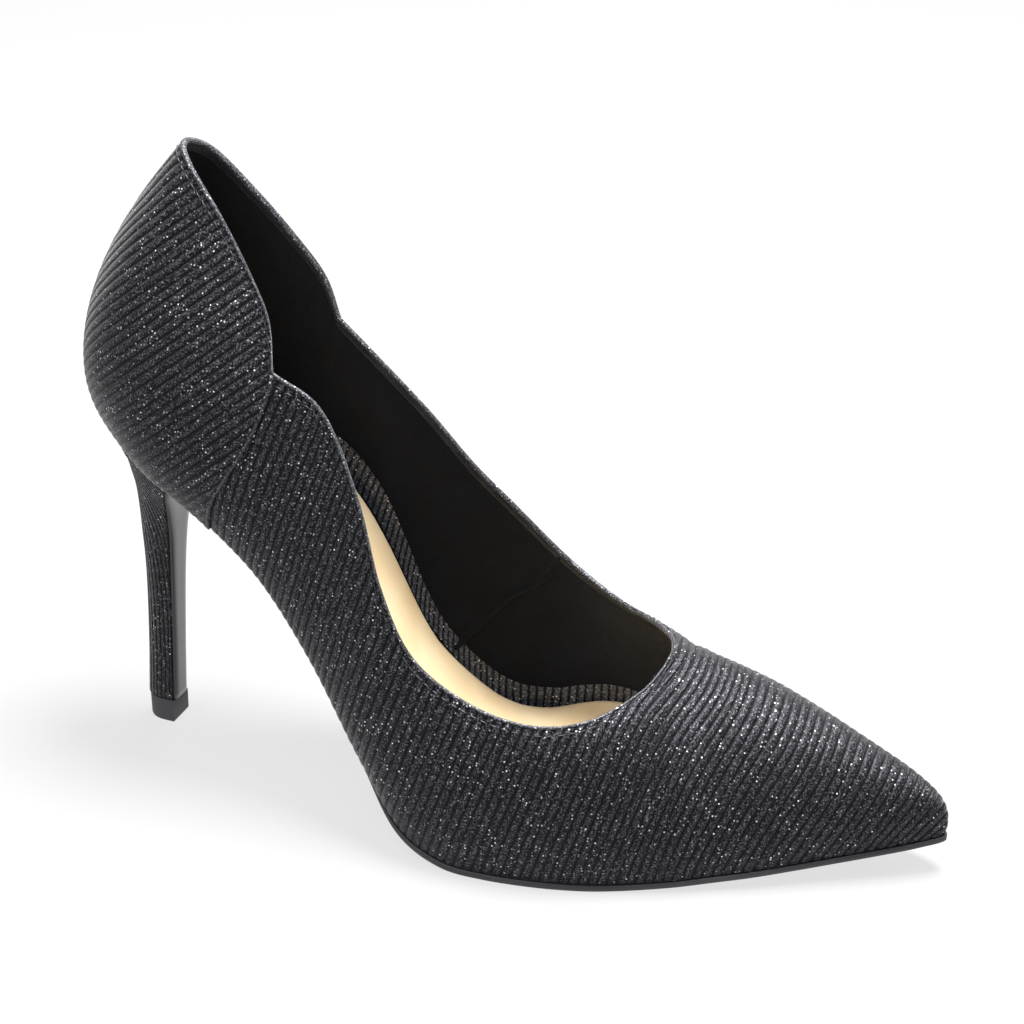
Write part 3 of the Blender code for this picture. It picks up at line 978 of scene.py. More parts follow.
@dataclass(frozen=True)
class RibLines:
    """How the ribs of the cloth run on each panel, counted in ribs.

    On the front the ribs lean forward as they rise, most at the toe, and bow forward over
    the vamp. On the counter they climb towards the topline, and on the inner quarter they
    run nearly level. The lean and the spacing are given at places along the sole.
    """

    pitch: float = 2.2
    along: Tuple[float, ...] = (40.0, 70.0, 100.0, 120.0, 140.0, 160.0, 180.0, 205.0, 225.0)
    lean: Tuple[float, ...] = (15.0, 13.0, 16.0, 16.0, 14.5, 13.0, 19.5, 37.0, 50.0)
    spacing: Tuple[float, ...] = (2.3, 2.3, 2.35, 2.35, 2.2, 1.9, 1.85, 2.0, 2.1)
    bow: float = 2.7
    bow_middle: float = -5.0
    bow_width: float = 8.6
    counter_climb: float = math.radians(41.0)
    quarter_climb: float = math.radians(18.0)
    back_height: Tuple[float, ...] = (80.0, 100.0, 120.0, 140.0, 156.0)
    back_radius: Tuple[float, ...] = (23.0, 22.0, 18.0, 13.0, 2.0)
    settling_rounds: int = 20
    sole_end: float = 240.0
    sole_samples: int = 481
    back_samples: int = 80

    def front(self, points: Array) -> Array:
        """Count the ribs of the vamp and the outer quarter."""
        aside = (points[..., 1] - self.bow_middle) / self.bow_width
        along = points[..., 0] - self.bow * np.exp(-0.5 * aside ** 2)
        foot = along.copy()
        for _ in range(self.settling_rounds):
            lean = np.radians(np.interp(foot, self.along, self.lean))
            foot = along - np.tan(lean) * points[..., 2]
        sole = np.linspace(0.0, self.sole_end, self.sole_samples)
        count = np.cumsum((sole[1] - sole[0]) / np.interp(sole, self.along, self.spacing))
        return np.interp(foot, sole, count)

    def counter(self, points: Array) -> Array:
        """Count the ribs of the counter, unrolled from its back seam."""
        profile = LAST.wall(Side.LATERAL, 0.0, np.linspace(0.0, 1.0, self.back_samples))
        rise = points[..., 2]
        back = np.interp(rise, profile[:, 2], profile[:, 0])
        radius = np.interp(rise, self.back_height, self.back_radius)
        centre = back + radius
        across = np.abs(points[..., 1])
        turn = np.arctan2(across, centre - points[..., 0])
        rolled = centre - radius * (0.5 * math.pi - turn)
        along = np.where(points[..., 0] < centre, rolled, points[..., 0])
        return self.climbing(along, rise, self.counter_climb)

    def quarter(self, points: Array) -> Array:
        """Count the ribs of the inner quarter."""
        return self.climbing(points[..., 0], points[..., 2], self.quarter_climb)

    def climbing(self, along: Array, rise: Array, climb: float) -> Array:
        """Count straight ribs that climb towards the toe at an angle."""
        return (rise * math.cos(climb) - along * math.sin(climb)) / self.pitch


RIBS = RibLines()


def even_places(curve: Callable[[Array], Array], start: float, end: float, step: float) -> Array:
    """Space places evenly along a curve.

    Args:
        curve: Gives a point for each place.
        start: First place.
        end: Last place.
        step: Wanted distance between points, in millimetres.

    Returns:
        Places at even distances.
    """
    places = np.linspace(start, end, CURVE_SAMPLES)
    run = run_length(curve(places))
    count = max(int(run[-1] / step), 2)
    return np.interp(np.linspace(0.0, run[-1], count + 1), run, places)


def sweep(
    name: str,
    path: Array,
    out: Array,
    up: Array,
    profile: Array,
    finish: Finish,
    closed: bool = False,
) -> bpy.types.Object:
    """Sweep a closed profile along a path.

    Args:
        name: Name of the piece.
        path: Points along the path.
        out: Direction of the profile's first coordinate at each point.
        up: Direction of the profile's second coordinate at each point.
        profile: Profile points for each path point, as outward and upward distances.
        finish: The finish that the piece wears.
        closed: Whether the path's end joins its start.

    Returns:
        The swept object.
    """
    rings = (
        path[:, None]
        + out[:, None] * profile[..., 0][..., None]
        + up[:, None] * profile[..., 1][..., None]
    )
    if closed:
        rings = np.concatenate([rings, rings[:1]])
    columns, rows = rings.shape[:2]
    faces = grid_faces(columns, rows, wrap=True) if closed else tube_faces(columns, rows)
    return make_piece(name, rings, faces, finish)


def joined_profile(out: Sequence[Array], up: Sequence[Array]) -> Array:
    """Join stretches of a profile, given as outward and upward distances."""
    return np.stack([np.concatenate(out, 1), np.concatenate(up, 1)], 2)


def oval_profile(count: int, radius: float, sides: int, stretch: float = 1.0) -> Array:
    """Repeat an oval profile along a path.

    Args:
        count: Number of points on the path.
        radius: How far the oval reaches outwards.
        sides: Number of corners.
        stretch: How many times wider than high the oval is.

    Returns:
        Profile points for each path point.
    """
    angles = np.linspace(0.0, math.tau, sides, endpoint=False)
    ring = np.stack([np.cos(angles), stretch * np.sin(angles)], 1) * radius
    return np.broadcast_to(ring, (count, sides, 2))


@dataclass(frozen=True)
class InsoleEdge:
    """How the insole's edges lie: rows of section, inset and the rise of either edge."""

    rows: Tuple[Tuple[float, ...], ...] = (
        (0.0, 2.2, 0.0, 0.0),
        (1.5, 2.2, 1.4, 1.4),
        (4.0, 2.2, 1.5, 2.5),
        (6.6, 2.2, 1.5, 7.4),
        (8.0, 3.4, 1.5, 0.0),
        (9.4, 3.4, 1.5, 0.2),
        (12.0, 2.2, 1.5, 8.0),
        (15.5, 2.2, 1.5, 3.0),
        (20.6, 2.2, 0.5, 0.5),
    )
    thickness: float = 2.4

    @property
    def front(self) -> float:
        """Section at which the insole ends."""
        return self.rows[-1][0]

    def at(self, place: Array) -> Tuple[Array, Dict[Side, Array]]:
        """Read the inset and both edges' rise, easing from each row to the next.

        Args:
            place: Places counted in sections from heel to toe.

        Returns:
            The inset, and the rise of each side's edge.
        """
        table = np.array(self.rows, float)
        index = np.clip(np.searchsorted(table[:, 0], place) - 1, 0, len(table) - 2)
        start, end = table[index], table[index + 1]
        share = eased((place - start[..., 0]) / (end[..., 0] - start[..., 0]))[..., None]
        _, inset, lateral, medial = np.moveaxis(start + (end - start) * share, -1, 0)
        return inset, {Side.LATERAL: lateral, Side.MEDIAL: medial}


INSOLE_EDGE = InsoleEdge()


@dataclass
class Upper:
    """Cloth panels, folded edges, stitching and lining of the upper.

    Stitch rows hold the place along a stitch, its thickness as a share of the thread's, and
    how far it stands out. Lining seam rows hold place and height on the inner wall.
    """

    wall: float = 1.6
    counter_step: float = 0.7
    counter_ease: float = 0.08
    lining_ease: float = 0.3
    throat_ease: float = 0.8
    cloth: float = 0.24
    thinning: float = 0.5
    thinning_start: float = 0.75
    topline_step: float = 0.7
    topline_reach: float = 0.96
    bend_steps: int = 9
    fold_outside: float = 0.05
    fold_inside: float = 0.1
    fold_height: float = 0.45
    fold_legs: float = 0.45
    facing_bulge: float = 0.5
    facing_top: float = 0.3
    facing_width: float = 2.6
    facing_back: float = 0.2
    seam_low: float = 0.01
    seam_high: float = 0.995
    seam_steps: int = 60
    edge_radius: float = 0.4
    edge_sides: int = 10
    counter_edge_sunk: float = 0.2
    vamp_edge_proud: float = 0.05
    stitch_length: float = 1.9
    stitch_gap: float = 0.75
    stitch_below: float = 2.0
    stitch_radius: float = 0.17
    stitch_sunk: float = 0.1
    stitch_sides: int = 6
    stitch_step: float = 0.1
    stitch_weld: float = 0.001
    stitch_shape: Tuple[Tuple[float, ...], ...] = (
        (0.0, 0.1, -0.2), (0.06, 0.75, -0.1), (0.3, 1.0, 0.0), (0.5, 1.0, 0.03), (0.7, 1.0, 0.0),
        (0.94, 0.75, -0.1), (1.0, 0.1, -0.2))
    lining_columns: int = 221
    lining_rows: int = 34
    strip_start: float = 2.0
    strip_end: float = 16.0
    strip_columns: int = 700
    strip_rows: int = 8
    strip_low: float = -1.0
    strip_lowest: float = 0.3
    strip_high: float = 6.5
    strip_proud: float = 0.3
    wall_samples: int = 120
    lining_seam: Tuple[Tuple[float, float], ...] = (
        (8.15, 0.06), (8.48, 0.27), (9.0, 0.5), (9.67, 0.72), (10.0, 0.97))
    lining_seam_radius: float = 0.5
    lining_seam_sides: int = 8
    lining_seam_stretch: float = 2.0
    pieces: List[bpy.types.Object] = field(default_factory=list)

    def build(self) -> None:
        """Make every piece of the upper."""
        self.build_panels()
        self.build_fold()
        self.build_facing()
        self.build_panel_edges()
        self.build_stitches()
        self.build_lining()
        self.build_lining_seam()
        self.build_inner_strip()

    def build_panels(self) -> None:
        """Make the front, the inner quarter and the counter."""
        front = RibbedPanel(
            "front_panel",
            (
                Leg(Side.LATERAL, LAST.counter_seam, LAST.toe),
                Leg(Side.MEDIAL, LAST.quarter_seam, LAST.toe),
            ),
            RIBS.front,
        )
        quarter = RibbedPanel(
            "inner_quarter_panel",
            (Leg(Side.MEDIAL, LAST.counter_seam, LAST.quarter_seam),),
            RIBS.quarter,
        )
        counter = RibbedPanel(
            "counter_panel",
            (
                Leg(Side.LATERAL, 0.0, LAST.counter_seam),
                Leg(Side.MEDIAL, 0.0, LAST.counter_seam),
            ),
            RIBS.counter,
            proud=self.counter_step,
        )
        skins = [panel.build(RIB_CLOTH) for panel in (front, quarter, counter)]
        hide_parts("upper")
        self.pieces += skins

    def topline(self, step: float) -> Tuple[Array, Array, Array, Array]:
        """Walk once round the topline.

        Args:
            step: Distance between points, in millimetres.

        Returns:
            Points, outward directions, upward directions along the wall, and the place of
            each point, which is negative on the outer side.
        """
        sides = []
        for side in (Side.LATERAL, Side.MEDIAL):
            places = even_places(lambda p, s=side: LAST.top_at(s, p), 0.0, LAST.throat, step)
            sides.append((side, places if side is Side.LATERAL else places[::-1]))
        path, out, up, marks = [], [], [], []
        for side, places in sides:
            places = places[:-1]
            top = LAST.wall(side, places, 1.0)
            rise = unit(top - LAST.wall(side, places, self.topline_reach))
            face = LAST.normal(side, places, np.ones_like(places))
            path.append(top)
            up.append(rise)
            out.append(unit(face - rise * np.sum(face * rise, 1)[:, None]))
            marks.append(places * side.value)
        return np.concatenate(path), np.concatenate(out), np.concatenate(up), np.concatenate(marks)

    def lift(self, marks: Array) -> Array:
        """Say how far the outer cloth stands proud at places along the topline."""
        step = eased((np.abs(marks) - LAST.counter_seam) / self.counter_ease + 0.5)
        return self.cloth + self.counter_step * (1.0 - step)

    def depth(self, places: Array, heights: Array) -> Array:
        """Say how deep the lining lies, which is least at the counter and the topline.

        Args:
            places: Places counted in sections from heel to toe.
            heights: 0 at the feather edge to 1 at the topline or ridge.

        Returns:
            Depths below the wall.
        """
        ahead = eased((places - LAST.counter_seam) / self.lining_ease + 0.5)
        full = self.wall - self.counter_step * (1.0 - ahead)
        behind_throat = eased((LAST.throat - places) / self.throat_ease)
        near_top = eased((heights - self.thinning_start) / (1.0 - self.thinning_start))
        return full * (1.0 - self.thinning * behind_throat * near_top)

    def build_fold(self) -> None:
        """Fold the cloth over the topline in a narrow rounded edge."""
        path, out, up, marks = self.topline(self.topline_step)
        outer = self.lift(marks) + self.fold_outside
        inner = -self.depth(np.abs(marks), np.ones_like(marks)) - self.fold_inside
        angles = np.linspace(0.0, math.pi, self.bend_steps)
        middle = 0.5 * (outer + inner)
        half = 0.5 * (outer - inner)
        arc_out = middle[:, None] + half[:, None] * np.cos(angles)
        arc_up = np.broadcast_to(self.fold_height * np.sin(angles), arc_out.shape)
        foot_out = np.stack([inner, outer], 1)
        foot_up = np.full_like(foot_out, -self.fold_legs)
        profile = joined_profile((arc_out, foot_out), (arc_up, foot_up))
        # The fold wears the lighter folded cloth: a painted highlight along the topline.
        self.pieces.append(sweep("topline_fold", path, out, up, profile, FOLDED_CLOTH_PAINTED_HIGHLIGHT, closed=True))

    def build_facing(self) -> None:
        """Round the turned edge of the lining just below the topline."""
        path, out, up, marks = self.topline(self.topline_step)
        inner = -self.depth(np.abs(marks), np.ones_like(marks))
        share = np.linspace(0.0, 1.0, self.bend_steps)
        bead_out = inner[:, None] - self.facing_bulge * np.sin(math.pi * share)
        bead_up = np.broadcast_to(-self.facing_top - self.facing_width * share, bead_out.shape)
        back_out = np.repeat(inner[:, None] + self.facing_back, 2, axis=1)
        back_up = np.broadcast_to(
            (-self.facing_top - self.facing_width, -self.facing_top), back_out.shape)
        profile = joined_profile((bead_out, back_out), (bead_up, back_up))
        # The bead wears the lighter turned lining: a painted highlight along it.
        self.pieces.append(sweep("topline_facing", path, out, up, profile, TURNED_LINING_PAINTED_HIGHLIGHT, closed=True))

    def seam_path(self, side: Side, place: float, proud: float) -> Tuple[Array, Array, Array]:
        """Follow a seam line up the wall.

        Args:
            side: Side of the foot.
            place: Section at which the seam lies.
            proud: Distance from the wall.

        Returns:
            Points, outward directions and directions along the shoe.
        """
        heights = np.linspace(self.seam_low, self.seam_high, self.seam_steps)
        places = np.full_like(heights, place)
        out = LAST.normal(side, places, heights)
        path = LAST.wall(side, places, heights) + out * proud
        run = unit(np.gradient(path, axis=0))
        return path, out, unit(np.cross(run, out))

    def build_panel_edges(self) -> None:
        """Round the folded edges where one panel laps over the next."""
        counter_proud = self.counter_step - self.counter_edge_sunk
        seams = (
            ("outer_counter_edge", Side.LATERAL, LAST.counter_seam, counter_proud),
            ("inner_counter_edge", Side.MEDIAL, LAST.counter_seam, counter_proud),
            ("inner_vamp_edge", Side.MEDIAL, LAST.quarter_seam, self.vamp_edge_proud),
        )
        for name, side, place, proud in seams:
            path, out, along = self.seam_path(side, place, proud)
            profile = oval_profile(len(path), self.edge_radius, self.edge_sides)
            # Each edge wears the lighter folded cloth: a painted highlight along the seam.
            self.pieces.append(sweep(name, path, out, along, profile, FOLDED_CLOTH_PAINTED_HIGHLIGHT))

    def build_stitches(self) -> None:
        """Sew one row of stitches below the topline, as separate short threads."""
        path, out, up, marks = self.topline(self.stitch_step)
        path = path - up * self.stitch_below + out * (self.lift(marks) - self.stitch_sunk)[:, None]
        run = run_length(path)
        pitch = self.stitch_length + self.stitch_gap
        shares, girth, dip = np.array(self.stitch_shape).T
        girth = girth * self.stitch_radius
        angles = np.linspace(0.0, math.tau, self.stitch_sides, endpoint=False)
        patchwork = Patchwork()
        for start in np.arange(0.0, run[-1] - pitch, pitch):
            at = start + shares * self.stitch_length
            face = unit(rows_at(at, run, out))
            rise = unit(rows_at(at, run, up))
            centre = rows_at(at, run, path) + face * dip[:, None]
            rings = centre[:, None] + girth[:, None, None] * (
                face[:, None] * np.cos(angles)[None, :, None]
                + rise[:, None] * np.sin(angles)[None, :, None])
            patchwork.add(rings, tube=True)
        self.pieces.append(patchwork.make("topline_stitches", SEWING_THREAD, self.stitch_weld))

    def build_lining(self) -> None:
        """Line the wall from the feather edge to the topline."""
        places = np.linspace(0.0, LAST.toe, self.lining_columns)
        heights = np.linspace(0.0, 1.0, self.lining_rows)
        grid_place, grid_height = np.meshgrid(places, heights, indexing="ij")
        depth = self.depth(grid_place, grid_height)
        patchwork = Patchwork()
        for side in Side:
            patchwork.add(LAST.skin(side, grid_place, grid_height, -depth))
        self.pieces.append(patchwork.make("lining", LINING_CLOTH))

    def build_lining_seam(self) -> None:
        """Raise the seam where the vamp's lining laps over the inner quarter's."""
        at = np.linspace(0.0, len(self.lining_seam) - 1, self.seam_steps)
        places, heights = catmull(open_ended(self.lining_seam), at).T
        out = LAST.normal(Side.MEDIAL, places, heights)
        path = LAST.skin(Side.MEDIAL, places, heights, -self.depth(places, heights))
        along = unit(np.cross(unit(np.gradient(path, axis=0)), out))
        profile = oval_profile(
            len(path), self.lining_seam_radius, self.lining_seam_sides, self.lining_seam_stretch)
        self.pieces.append(sweep("lining_seam", path, out, along, profile, LINING_CLOTH))

    def build_inner_strip(self) -> None:
        """Lay the strip of rib cloth that covers the lining's lower edge."""
        share = np.linspace(0.0, 1.0, self.strip_rows)
        fine = np.linspace(0.0, 1.0, self.wall_samples)
        places = np.linspace(self.strip_start, self.strip_end, self.strip_columns)
        _, rims = INSOLE_EDGE.at(places)
        for side in Side:
            wall = LAST.wall(side, places[:, None], fine[None, :])
            run = np.cumsum(np.linalg.norm(np.diff(wall, axis=1), axis=2), axis=1)
            run = np.concatenate([np.zeros((len(places), 1)), run], 1)
            low = np.maximum(rims[side] + self.strip_low, self.strip_lowest)
            reach = low + (rims[side] + self.strip_high - low) * share[:, None]
            heights = np.stack([np.interp(at, row, fine) for at, row in zip(reach.T, run)])
            grid_place = np.broadcast_to(places[:, None], heights.shape)
            depth = self.depth(grid_place, heights) + self.strip_proud
            sheet = LAST.skin(side, grid_place, heights, -depth)
            along = run_length(LAST.feather_at(side, places))
            phase = np.broadcast_to(along[:, None] / RIBS.pitch, heights.shape)
            name = "inner_strip_" + side.name.lower()
            faces = grid_faces(len(places), len(share))
            # The strips wear the lighter, bluer strip cloth: painted light in the shade inside the shoe.
            self.pieces.append(make_piece(name, sheet, faces, STRIP_CLOTH_PAINTED_LIGHT, phase))


@dataclass
class Insole:
    """The leather insole, curled up along the arch and the inner side of the ball."""

    rounding: float = 0.9
    stations: int = 170
    steps: int = 24

    def build(self) -> None:
        """Make the insole with rounded edges."""
        places = np.linspace(0.0, INSOLE_EDGE.front, self.stations)
        inset, rims = INSOLE_EDGE.at(places)
        edges = [LAST.inset_edge(side, places, inset) for side in Side]
        span = np.linalg.norm(edges[1] - edges[0], axis=1)
        share = 0.5 - 0.5 * np.cos(np.linspace(0.0, math.pi, self.steps))
        weight = share[None, :, None]
        across = edges[0][:, None] * (1 - weight) + edges[1][:, None] * weight
        rim = np.where(share < 0.5, rims[Side.LATERAL][:, None], rims[Side.MEDIAL][:, None])
        bowl = rim * (2 * share - 1) ** 2
        depth = np.minimum(share, 1 - share)[None, :] * span[:, None]
        t = np.clip(1.0 - depth / self.rounding, 0.0, 1.0)
        corner = self.rounding * (1.0 - np.sqrt(np.maximum(1.0 - t * t, 0.0)))
        under = across.copy()
        under[..., 2] += bowl
        over = across.copy()
        over[..., 2] += bowl + INSOLE_EDGE.thickness - corner
        rings = np.concatenate([under, over[:, ::-1]], 1)
        rows = rings.shape[1]
        faces = grid_faces(self.stations, rows, wrap=True)
        faces.append(tuple(range((self.stations - 1) * rows, self.stations * rows)))
        piece = make_piece("insole_sock", rings, faces, INSOLE_LEATHER)
        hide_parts("insole")


@dataclass
class Outsole:
    """The thin sole under the waist and the forefoot."""

    thickness: float = 1.6
    gap: float = 0.3
    welt: float = 0.6
    waist_inset: float = 2.4
    waist_end: float = 7.0
    ball: float = 9.2
    breast: float = 3.42
    rounding: float = 0.4
    narrowest: float = 1e-6
    corner_share: float = 0.3
    widest_corner: float = 0.4
    stations: int = 180
    steps: int = 12

    def build(self) -> None:
        """Make the sole with softened edges."""
        places = np.linspace(self.breast, LAST.toe, self.stations)
        ease = eased((places - self.waist_end) / (self.ball - self.waist_end))
        inset = self.waist_inset - (self.welt + self.waist_inset) * ease
        edges = [LAST.inset_edge(side, places, inset) for side in Side]
        span = edges[1] - edges[0]
        width = np.maximum(np.linalg.norm(span, axis=1), self.narrowest)
        soft = np.minimum(self.rounding / width, self.widest_corner)[:, None]
        share = np.linspace(0.0, 1.0, self.steps)[None, :]
        inner = soft + (1.0 - 2.0 * soft) * share
        rows = []
        top = -self.gap
        low = top - self.thickness
        corner = self.corner_share * self.rounding
        start = np.zeros_like(soft)
        end = np.ones_like(soft)
        for level, pull in (
            (low, inner),
            (low + corner, end - self.corner_share * soft),
            (low + self.rounding, end),
            (top, end),
            (top, inner[:, ::-1]),
            (top, start),
            (low + self.rounding, start),
            (low + corner, self.corner_share * soft),
        ):
            block = edges[0][:, None] + span[:, None] * pull[..., None]
            block[..., 2] += level
            rows.append(block)
        rings = np.concatenate(rows, 1)
        count = rings.shape[1]
        faces = grid_faces(self.stations, count, wrap=True)
        faces.append(tuple(range(count)))
        piece = make_piece("sole", rings, faces, SOLE_LEATHER)
        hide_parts("outsole")


@dataclass
class Heel:
    """The slim covered heel, its glossy breast and its top piece.

    Rows hold heights at the back and the breast, both ends along the shoe and half width.
    """

    rows: Tuple[Tuple[float, ...], ...] = (
        (81.6, 75.2, 10.1, 28.0, 17.4),
        (77.0, 71.0, 11.7, 26.6, 13.4),
        (72.0, 66.5, 12.9, 25.4, 11.0),
        (66.8, 62.5, 13.8, 24.6, 8.6),
        (61.0, 58.0, 14.4, 24.2, 6.8),
        (53.0, 51.5, 15.1, 24.1, 5.3),
        (40.0, 39.5, 16.4, 24.2, 4.4),
        (22.0, 22.0, 17.2, 24.7, 3.9),
        (6.2, 6.2, 17.5, 25.2, 3.8),
    )
    tip_rows: Tuple[Tuple[float, ...], ...] = (
        (5.9, 5.9, 18.0, 25.7, 4.0),
        (5.5, 5.5, 17.8, 25.9, 4.1),
        (0.4, 0.4, 18.3, 26.2, 4.2),
        (0.0, 0.0, 18.5, 26.0, 4.1),
    )
    corner: float = 0.62
    seat_front: float = 3.1
    seat_inset: float = 0.2
    gap: float = 0.3
    breast_thickness: float = 0.9
    breast_margin: float = 0.3
    breast_steps: int = 90
    breast_columns: int = 13
    crown_drop: float = 0.7
    crown_power: int = 6
    pitch: float = 1.15
    columns_per_rib: int = 6
    relief: float = 0.1
    groove_sharpness: int = 2
    first_row: float = 0.5
    seat_steps: int = 9
    levels: int = 64
    tip_steps: int = 40
    tip_edge: float = math.radians(40)

    def outline(self, row: Array, steps: int = 60) -> Array:
        """List a D-shaped section from the outer breast corner round the back.

        Args:
            row: One row of the heel's table.
            steps: Number of steps round the back.

        Returns:
            Points of the section.
        """
        rise_back, rise_breast, back, breast, half = row
        centre = back + self.corner * (breast - back)
        angle = math.pi * (np.linspace(0.0, 1.0, steps + 1) - 0.5)
        along = centre - (centre - back) * np.cos(angle)
        along = np.concatenate([[breast], along, [breast]])
        across = np.concatenate([[-half], half * np.sin(angle), [half]])
        share = (along - back) / (breast - back)
        return np.stack([along, across, rise_back + share * (rise_breast - rise_back)], 1)

    def seat(self, count: int) -> Array:
        """List the top of the heel, just inside and just below the feather edge."""
        places = np.linspace(-self.seat_front, self.seat_front, count)
        points = np.zeros((count, 3))
        for side in Side:
            chosen = places > 0 if side is Side.MEDIAL else places <= 0
            depth = np.abs(places[chosen])
            points[chosen] = LAST.inset_edge(side, depth, self.seat_inset)
        points[:, 2] -= self.gap
        return points

    def sections(self) -> List[Array]:
        """List fine sections from the seat to the tip."""
        table = open_ended(self.rows)
        sections = []
        start = self.outline(catmull(table, np.array(self.first_row)))
        seat = self.seat(len(start))
        for share in np.linspace(0.0, 1.0, self.seat_steps)[:-1]:
            sections.append(seat * (1 - share) + start * share)
        for place in np.linspace(self.first_row, len(self.rows) - 1, self.levels):
            sections.append(self.outline(catmull(table, np.array(place))))
        return sections

    def build(self) -> None:
        """Make the covered heel, its breast and its top piece."""
        self.build_cover()
        self.build_breast()
        self.build_tip()

    def build_cover(self) -> None:
        """Wrap the heel in rib cloth whose ribs run down from the seat."""
        sections = self.sections()
        runs = []
        for section in sections:
            run = run_length(section)
            runs.append(run - 0.5 * run[-1])
        reach = math.ceil(max(run[-1] for run in runs) / self.pitch * self.columns_per_rib)
        lines = np.arange(-reach, reach + 1) / self.columns_per_rib
        columns = []
        phases = []
        for section, run in zip(sections, runs):
            at = np.clip(lines * self.pitch, run[0], run[-1])
            points = rows_at(at, run, section)
            tangent = np.gradient(section[:, :2], axis=0)
            level = unit(np.stack([-tangent[:, 1], tangent[:, 0]], 1))
            facing = rows_at(at, run, level)
            phase = at / self.pitch
            groove = (0.5 + 0.5 * np.cos(math.tau * phase)) ** self.groove_sharpness
            points[:, :2] += facing * (self.relief * (1.0 - groove))[:, None]
            columns.append(points)
            phases.append(phase)
        sheet = np.stack(columns, 1)
        rib = np.stack(phases, 1)
        count, rows = sheet.shape[:2]
        last = (count - 1) * rows
        faces = grid_faces(count, rows)
        faces += [(j, j + 1, last + j + 1, last + j) for j in range(rows - 1)]
        faces += [tuple(i * rows + end for i in range(count)) for end in (0, rows - 1)]
        piece = make_piece("heel_cover", sheet, faces, RIB_CLOTH, rib)
        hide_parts("heel")

    def build_breast(self) -> None:
        """Paste the glossy sheet on the front of the heel."""
        at = np.linspace(0.0, len(self.rows) - 1, self.breast_steps)
        table = catmull(open_ended(self.rows), at)
        across = np.linspace(-1.0, 1.0, self.breast_columns)
        crown = self.breast_thickness * (1.0 - self.crown_drop * across ** self.crown_power)
        reach = table[:, 4] - self.breast_margin
        sheets = []
        for lift in (np.zeros_like(across), crown):
            along = (table[:, 3] + self.gap)[:, None] + lift[None, :]
            rise = np.broadcast_to(table[:, 1][:, None], along.shape)
            sheets.append(np.stack([along, reach[:, None] * across[None, :], rise], 2))
        rings = np.concatenate([sheets[0], sheets[1][:, ::-1]], 1)
        faces = tube_faces(*rings.shape[:2])
        piece = make_piece("heel_breast", rings, faces, PATENT_LEATHER)
        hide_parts("breast_cover")

    def build_tip(self) -> None:
        """Mould the top piece with softened edges."""
        sections = np.stack([self.outline(np.array(row), self.tip_steps) for row in self.tip_rows])
        faces = tube_faces(*sections.shape[:2])
        piece = make_piece("heel_tip", sections, faces, TIP_RUBBER)
        piece.data.set_sharp_from_angle(angle=self.tip_edge)
        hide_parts("top_piece")


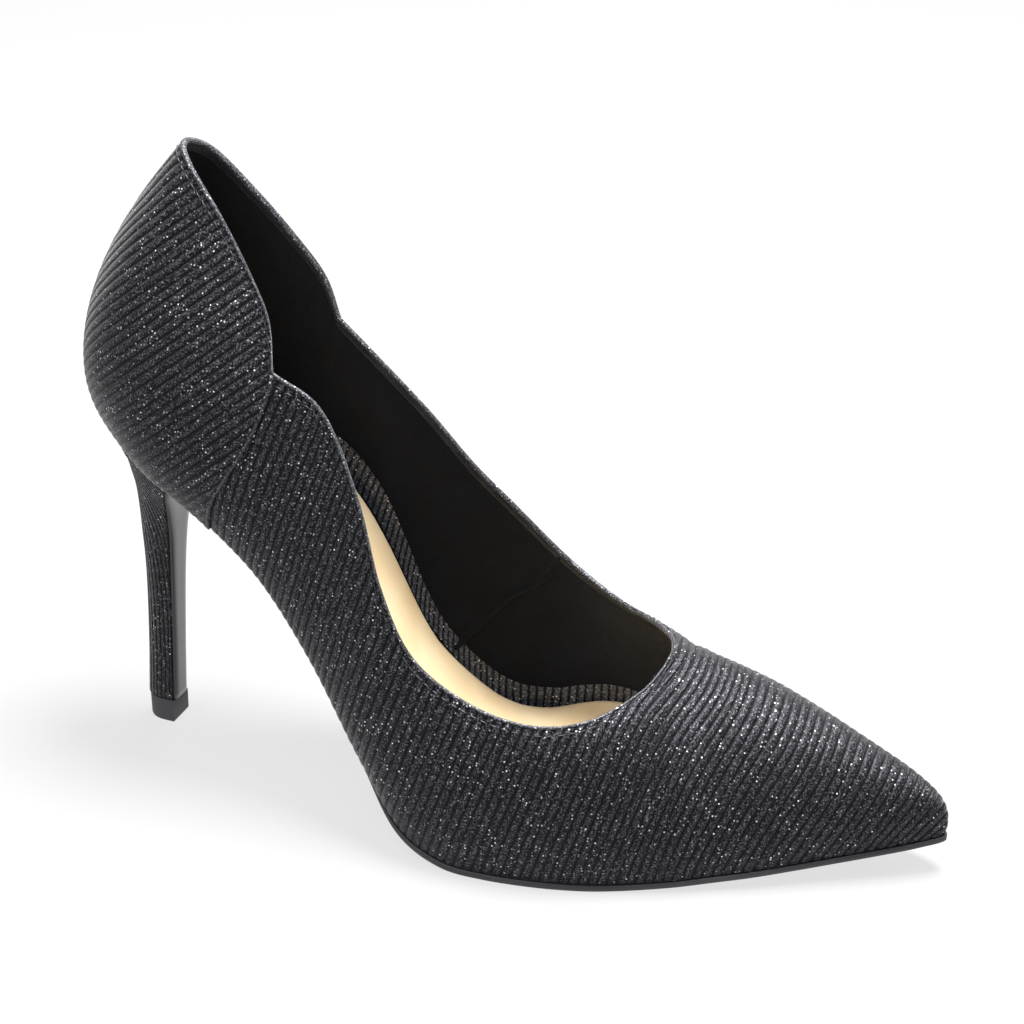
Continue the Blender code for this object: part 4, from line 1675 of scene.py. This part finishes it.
@dataclass
class Studio:
    """Pale floor, soft light and the camera.

    A lamp has a name, its place, the point that it is aimed at, its width and its power.
    """

    lens_mm: float = 101.65
    sensor_mm: float = 36.0
    eye: Tuple[float, float, float] = (0.18879, -0.58967, 0.37481)
    azimuth: float = 17.768
    elevation: float = 25.679
    roll: float = 4.036
    floor_size: float = 30.0
    world_colour: str = "#ffffff"
    world_strength: float = 0.2
    lamps: Tuple[Tuple[str, Tuple[float, ...], Tuple[float, ...], float, float], ...] = (
        ("overhead_softbox", (0.1, 0.2, 1.25), (0.0, 0.0, 0.0), 0.6, 54.0),
        ("back_softbox", (-0.1, 1.3, 0.8), (0.0, 0.0, 0.05), 0.8, 5.0),
        ("front_softbox", (-0.35, -0.5, 1.15), (0.0, 0.0, 0.05), 0.9, 9.5),
    )

    def build(self) -> None:
        """Set up floor, lights and camera, with colours shown as they are."""
        self.build_floor()
        self.build_lights()
        self.build_camera()
        bpy.context.scene.view_settings.view_transform = "Standard"

    def build_floor(self) -> None:
        """Lay the floor at the height that the shoe stands on."""
        half = 0.5 * self.floor_size
        mesh = bpy.data.meshes.new("studio_floor")
        corners = [(-half, -half, 0.0), (half, -half, 0.0), (half, half, 0.0), (-half, half, 0.0)]
        mesh.from_pydata(corners, [], [(0, 1, 2, 3)])
        mesh.materials.append(TABLE_SHEET.material())
        floor = bpy.data.objects.new("studio_floor", mesh)
        bpy.context.scene.collection.objects.link(floor)

    def build_lights(self) -> None:
        """Light the room faintly and hang the lamps overhead, behind and high in front."""
        world = bpy.data.worlds.new("studio_room")
        world.use_nodes = True
        tree = world.node_tree
        feed(tree, tree.nodes["Background"], {
            "Color": linear(self.world_colour),
            "Strength": self.world_strength,
        })
        bpy.context.scene.world = world
        for name, place, aim, size, power in self.lamps:
            light = bpy.data.lights.new(name, "AREA")
            light.shape = "DISK"
            light.size = size
            light.energy = power
            lamp = bpy.data.objects.new(name, light)
            lamp.location = place
            lamp.rotation_euler = (Vector(aim) - Vector(place)).to_track_quat("-Z", "Y").to_euler()
            bpy.context.scene.collection.objects.link(lamp)

    def build_camera(self) -> None:
        """Set the camera where the photograph was taken, turned so that the shoe fills the frame."""
        azimuth = math.radians(self.azimuth)
        elevation = math.radians(self.elevation)
        away = Vector((
            math.sin(azimuth) * math.cos(elevation),
            -math.cos(azimuth) * math.cos(elevation),
            math.sin(elevation),
        ))
        right = (-away).cross(Vector((0.0, 0.0, 1.0))).normalized()
        up = right.cross(-away)
        turn = math.radians(self.roll)
        rolled_right = right * math.cos(turn) + up * math.sin(turn)
        rolled_up = up * math.cos(turn) - right * math.sin(turn)
        data = bpy.data.cameras.new("photo_camera")
        data.lens = self.lens_mm
        data.sensor_width = self.sensor_mm
        camera = bpy.data.objects.new("photo_camera", data)
        basis = Matrix((rolled_right, rolled_up, away)).transposed()
        camera.matrix_world = Matrix.Translation(Vector(self.eye)) @ basis.to_4x4()
        bpy.context.scene.collection.objects.link(camera)
        bpy.context.scene.camera = camera


def main() -> None:
    """Load the frame and build the studio and the shoe."""
    logging.basicConfig(level=logging.INFO, format="%(name)s: %(message)s")
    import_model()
    low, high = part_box("upper")
    SHIFT.fit(low, high)
    Studio().build()
    Upper().build()
    Insole().build()
    Outsole().build()
    Heel().build()


if __name__ == "__main__":
    main()
